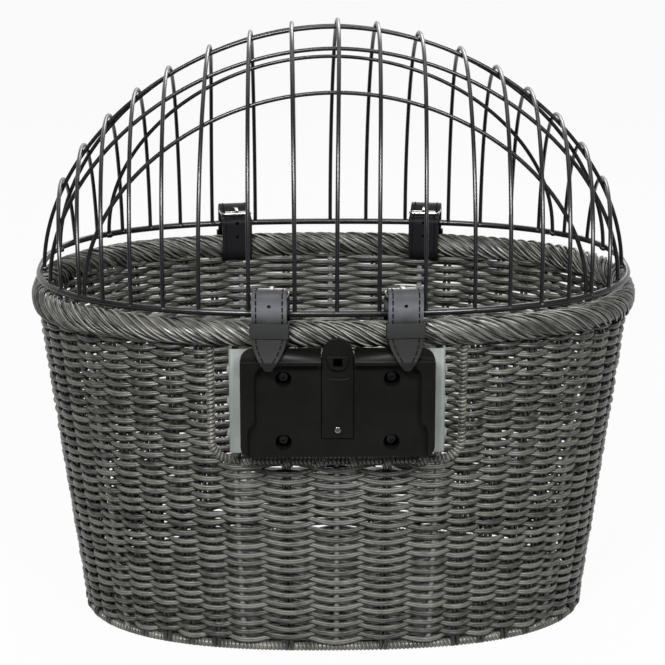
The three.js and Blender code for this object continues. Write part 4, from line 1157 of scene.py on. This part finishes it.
def stitch_paths(place, path, to_tip):
    tangent = unit(np.gradient(path, axis=0))
    outer = path + np.c_[-tangent[:, 1], tangent[:, 0]] * (BELT_THICK / 2)
    run = to_tip[0] - to_tip
    paths = []
    for start in np.arange(FIRST_STITCH, run[-1] - LAST_STITCH, STITCH_LENGTH + STITCH_GAP):
        along = np.linspace(start, start + STITCH_LENGTH, 4)
        half = tip_width(np.interp(along, run, to_tip)) - STITCH_INSET
        if half.min() < CLOSEST_STITCH:
            continue
        for side in (-1, 1):
            paths.append(place_points(place, np.c_[side * half, sample(outer, run, along)]))
    return paths


def punch_holes(belt, place, depth, heights):
    for height in heights:
        punch = add_cylinder(20, HOLE_RADIUS, PUNCH_LENGTH)
        spot = Matrix.Translation((0, depth, height)) @ Matrix.Rotation(pi / 2, 4, "X")
        punch.data.transform(place @ spot)
        cut_out(belt, punch)


# %% Lay the belts
GRID_ACROSS = 10
BELT_EDGE = 0.0005
EDGE_ANGLE = radians(50)
BELT_SMOOTH = radians(45)
LOOP_WIDEN = 1.08
belt_bodies = {"near_left": "lid", "near_right": "lid", "far_left": "basket", "far_right": "basket"}


def lay_belt(name, place, path, to_tip):
    bpy.ops.mesh.primitive_grid_add(x_subdivisions=GRID_ACROSS, y_subdivisions=len(path) - 1, size=2.0)
    belt = bpy.context.object
    belt.name = name
    grid = np.array([v.co for v in belt.data.vertices])
    step = np.rint((grid[:, 1] + 1) / 2 * (len(path) - 1)).astype(int)
    local = np.c_[grid[:, 0] * tip_width(to_tip)[step], path[step]]
    belt.data.vertices.foreach_set("co", place_points(place, local).ravel())
    apply_modifier(belt, "SOLIDIFY", thickness=BELT_THICK, offset=0.0)
    apply_modifier(belt, "BEVEL", width=BELT_EDGE, segments=2, limit_method="ANGLE", angle_limit=EDGE_ANGLE)
    bpy.ops.object.mode_set(mode="EDIT")
    bpy.ops.mesh.select_all(action="SELECT")
    bpy.ops.mesh.normals_make_consistent(inside=False)
    bpy.ops.object.mode_set(mode="OBJECT")
    return belt


for strap, body in belt_bodies.items():
    near = strap.startswith("near")
    place = fastening(strap)
    path, to_tip = belt_path(tail_kick(place) if near else 0.0)
    belt = lay_belt(f"{strap}_belt", place, path, to_tip)
    punch_holes(belt, place, *((TAIL_MIDDLE, NEAR_HOLES) if near else (-BELT_MIDDLE, FAR_HOLES)))
    bpy.ops.object.shade_smooth_by_angle(angle=BELT_SMOOTH)
    settle(belt, body, "strap", sheen_leather if near else leather, f"{strap}_strap")
    stitches = stitch_paths(place, path, to_tip)
    draw_wires(f"{strap}_stitches", stitches, THREAD_RADIUS, body, "strap", thread, sides=1)
    holder = rounded_copy(f"{strap}_keeper", f"{strap}_loop", 0.0004, 2)
    holder.data.transform(place @ Matrix.Diagonal((LOOP_WIDEN, 1.0, 1.0, 1.0)) @ place.inverted())
    settle(holder, body, "strap", loop_leather if near else leather, f"{strap}_keeper")

# %% [markdown]
# A roller buckle is one closed loop of wire with rounded corners, a tube that turns on its inner bar and
# a prong that swings on its heel bar. The tube rides on the roller's body and the prong on its own, so
# both move when the CAD joints do.

# %% Buckles
BUCKLE_HALF = 0.0122
BUCKLE_WIRE = 0.0010
BUCKLE_CORNER = 0.0025
BUCKLE_MIDDLE = (HEEL[0] + ROLLER[0]) / 2
BUCKLE_DEPTH = (HEEL[0] - ROLLER[0]) / 2
TUBE_HALF = 0.0098
TUBE_RINGS = (-1, -0.96, 0.96, 1)
corners = []
for turn, (side, front) in enumerate(((1, 1), (-1, 1), (-1, -1), (1, -1))):
    centre = (side * (BUCKLE_HALF - BUCKLE_CORNER), BUCKLE_MIDDLE + front * (BUCKLE_DEPTH - BUCKLE_CORNER))
    corners.append(arc_points(centre, BUCKLE_CORNER, 90 * turn, 90 * turn + 90, 5))
loop = [(x, y, HEEL[1]) for x, y in np.vstack(corners)]
bar = [(share * TUBE_HALF, *ROLLER) for share in TUBE_RINGS]
for strap, body in belt_bodies.items():
    place = fastening(strap)
    draw_wires(f"{strap}_buckle", [place_points(place, loop)], BUCKLE_WIRE, body, "nickel", nickel,
               f"{strap}_buckle_frame", closed=True)
    draw_wires(f"{strap}_roller_tube", [place_points(place, bar)], ROLLER_RADIUS, f"{strap}_roller",
               "nickel", nickel, f"{strap}_buckle_roller", sides=5)
    prong = rounded_copy(f"{strap}_buckle_prong", f"{strap}_tongue_pin", 0.0003, 2)
    settle(prong, f"{strap}_prong", "nickel", nickel, f"{strap}_buckle_prong")

# %% [markdown]
# ## Floor, light and camera
# The photograph is a studio shot on white. A pale floor catches a soft shadow, and the world gives an
# even white surround. What glossy pieces mirror is darker on the camera's side, as in a studio, so black
# wire and plastic stay black. Four area lamps model the form. The camera stands where the photograph was
# taken: a little above the rim, on the rider's side.

# %% Studio
WHITE = (1.0, 1.0, 1.0, 1.0)
CAMERA_SIDE = 0.06
WORLD_LIGHT = 0.03
FLOOR_SHADE = 0.4
FLOOR_WHITE = 0.95


def backdrop_side(tree, coordinates, dark_end, white_end):
    return ranged(tree, split_place(tree, coordinates)["Y"], CAMERA_SIDE, 1.0, dark_end, white_end)


def background_rays(tree, mirrored):
    rays = add_node(tree, "LightPath").outputs
    seen = math_node(tree, "MAXIMUM", rays["Is Camera Ray"], rays["Is Transmission Ray"])
    return math_node(tree, "MAXIMUM", seen, math_node(tree, "MULTIPLY", rays["Is Glossy Ray"], mirrored))


def mix_shaders(tree, share, first, second, output):
    mix = add_node(tree, "MixShader", Fac=share)
    tree.links.new(first.outputs[0], mix.inputs[1])
    tree.links.new(second.outputs[0], mix.inputs[2])
    tree.links.new(mix.outputs[0], tree.nodes[output].inputs["Surface"])


scene = bpy.context.scene
scene.view_settings.view_transform = "Standard"
world = bpy.data.worlds.new("studio")
scene.world = world
world.use_nodes = True
tree = world.node_tree
plain = tree.nodes["Background"]
plain.inputs["Color"].default_value = WHITE
plain.inputs["Strength"].default_value = WORLD_LIGHT
white = add_node(tree, "Background", Color=WHITE, Strength=1.0)
seen = background_rays(tree, backdrop_side(tree, "Generated", -0.2, 0.8))
mix_shaders(tree, seen, plain, white, "World Output")
bpy.ops.mesh.primitive_plane_add(size=12.0, location=(0, 0, 0))
floor = bpy.context.object
floor.name = "studio_floor"
floor_finish, tree, shader = new_finish("pale_floor", 0.9)
side = backdrop_side(tree, "Object", -0.8, -0.25)
feed(tree, shader.inputs["Base Color"], math_node(tree, "MULTIPLY", side, FLOOR_SHADE))
glow = add_node(tree, "Emission", Color=WHITE, Strength=1.0)
seen = math_node(tree, "MULTIPLY", background_rays(tree, side), FLOOR_WHITE)
mix_shaders(tree, seen, shader, glow, "Material Output")
floor.data.materials.append(floor_finish)
print("floor", tuple(round(size, 2) for size in floor.dimensions))

# %% Lamps
AIM = Vector((0, 0, 0.2))


def area_lamp(name, place, size, power):
    data = bpy.data.lights.new(name, "AREA")
    data.size = size
    data.energy = power
    lamp = add_object(name, data)
    lamp.location = place
    lamp.rotation_euler = (AIM - Vector(place)).to_track_quat("-Z", "Y").to_euler()
    print(name, power, "W")


area_lamp("key_lamp", (-0.55, -1.85, 1.75), 0.6, 88.0)
area_lamp("fill_lamp", (0.75, -1.75, 1.55), 0.6, 55.0)
area_lamp("top_lamp", (0.0, 0.3, 2.0), 1.2, 8.0)
area_lamp("back_lamp", (0.3, 2.0, 1.5), 0.9, 16.0)

# %% Camera
CAMERA_YAW = radians(1.0)
CAMERA_PITCH = 0.249
CAMERA_STAND = Vector((-0.00065, -1.650, 0.6364))
camera_data = bpy.data.cameras.new("photo_camera")
camera_data.lens = 115.70
camera_data.sensor_width = 36.0
camera_data.clip_end = 50.0
camera = add_object("photo_camera", camera_data)
camera.location = Matrix.Rotation(-CAMERA_YAW, 3, "Z") @ CAMERA_STAND
camera.rotation_euler = (pi / 2 - CAMERA_PITCH, 0.0, -CAMERA_YAW)
scene.camera = camera
print("camera at", [round(v, 3) for v in camera.location])
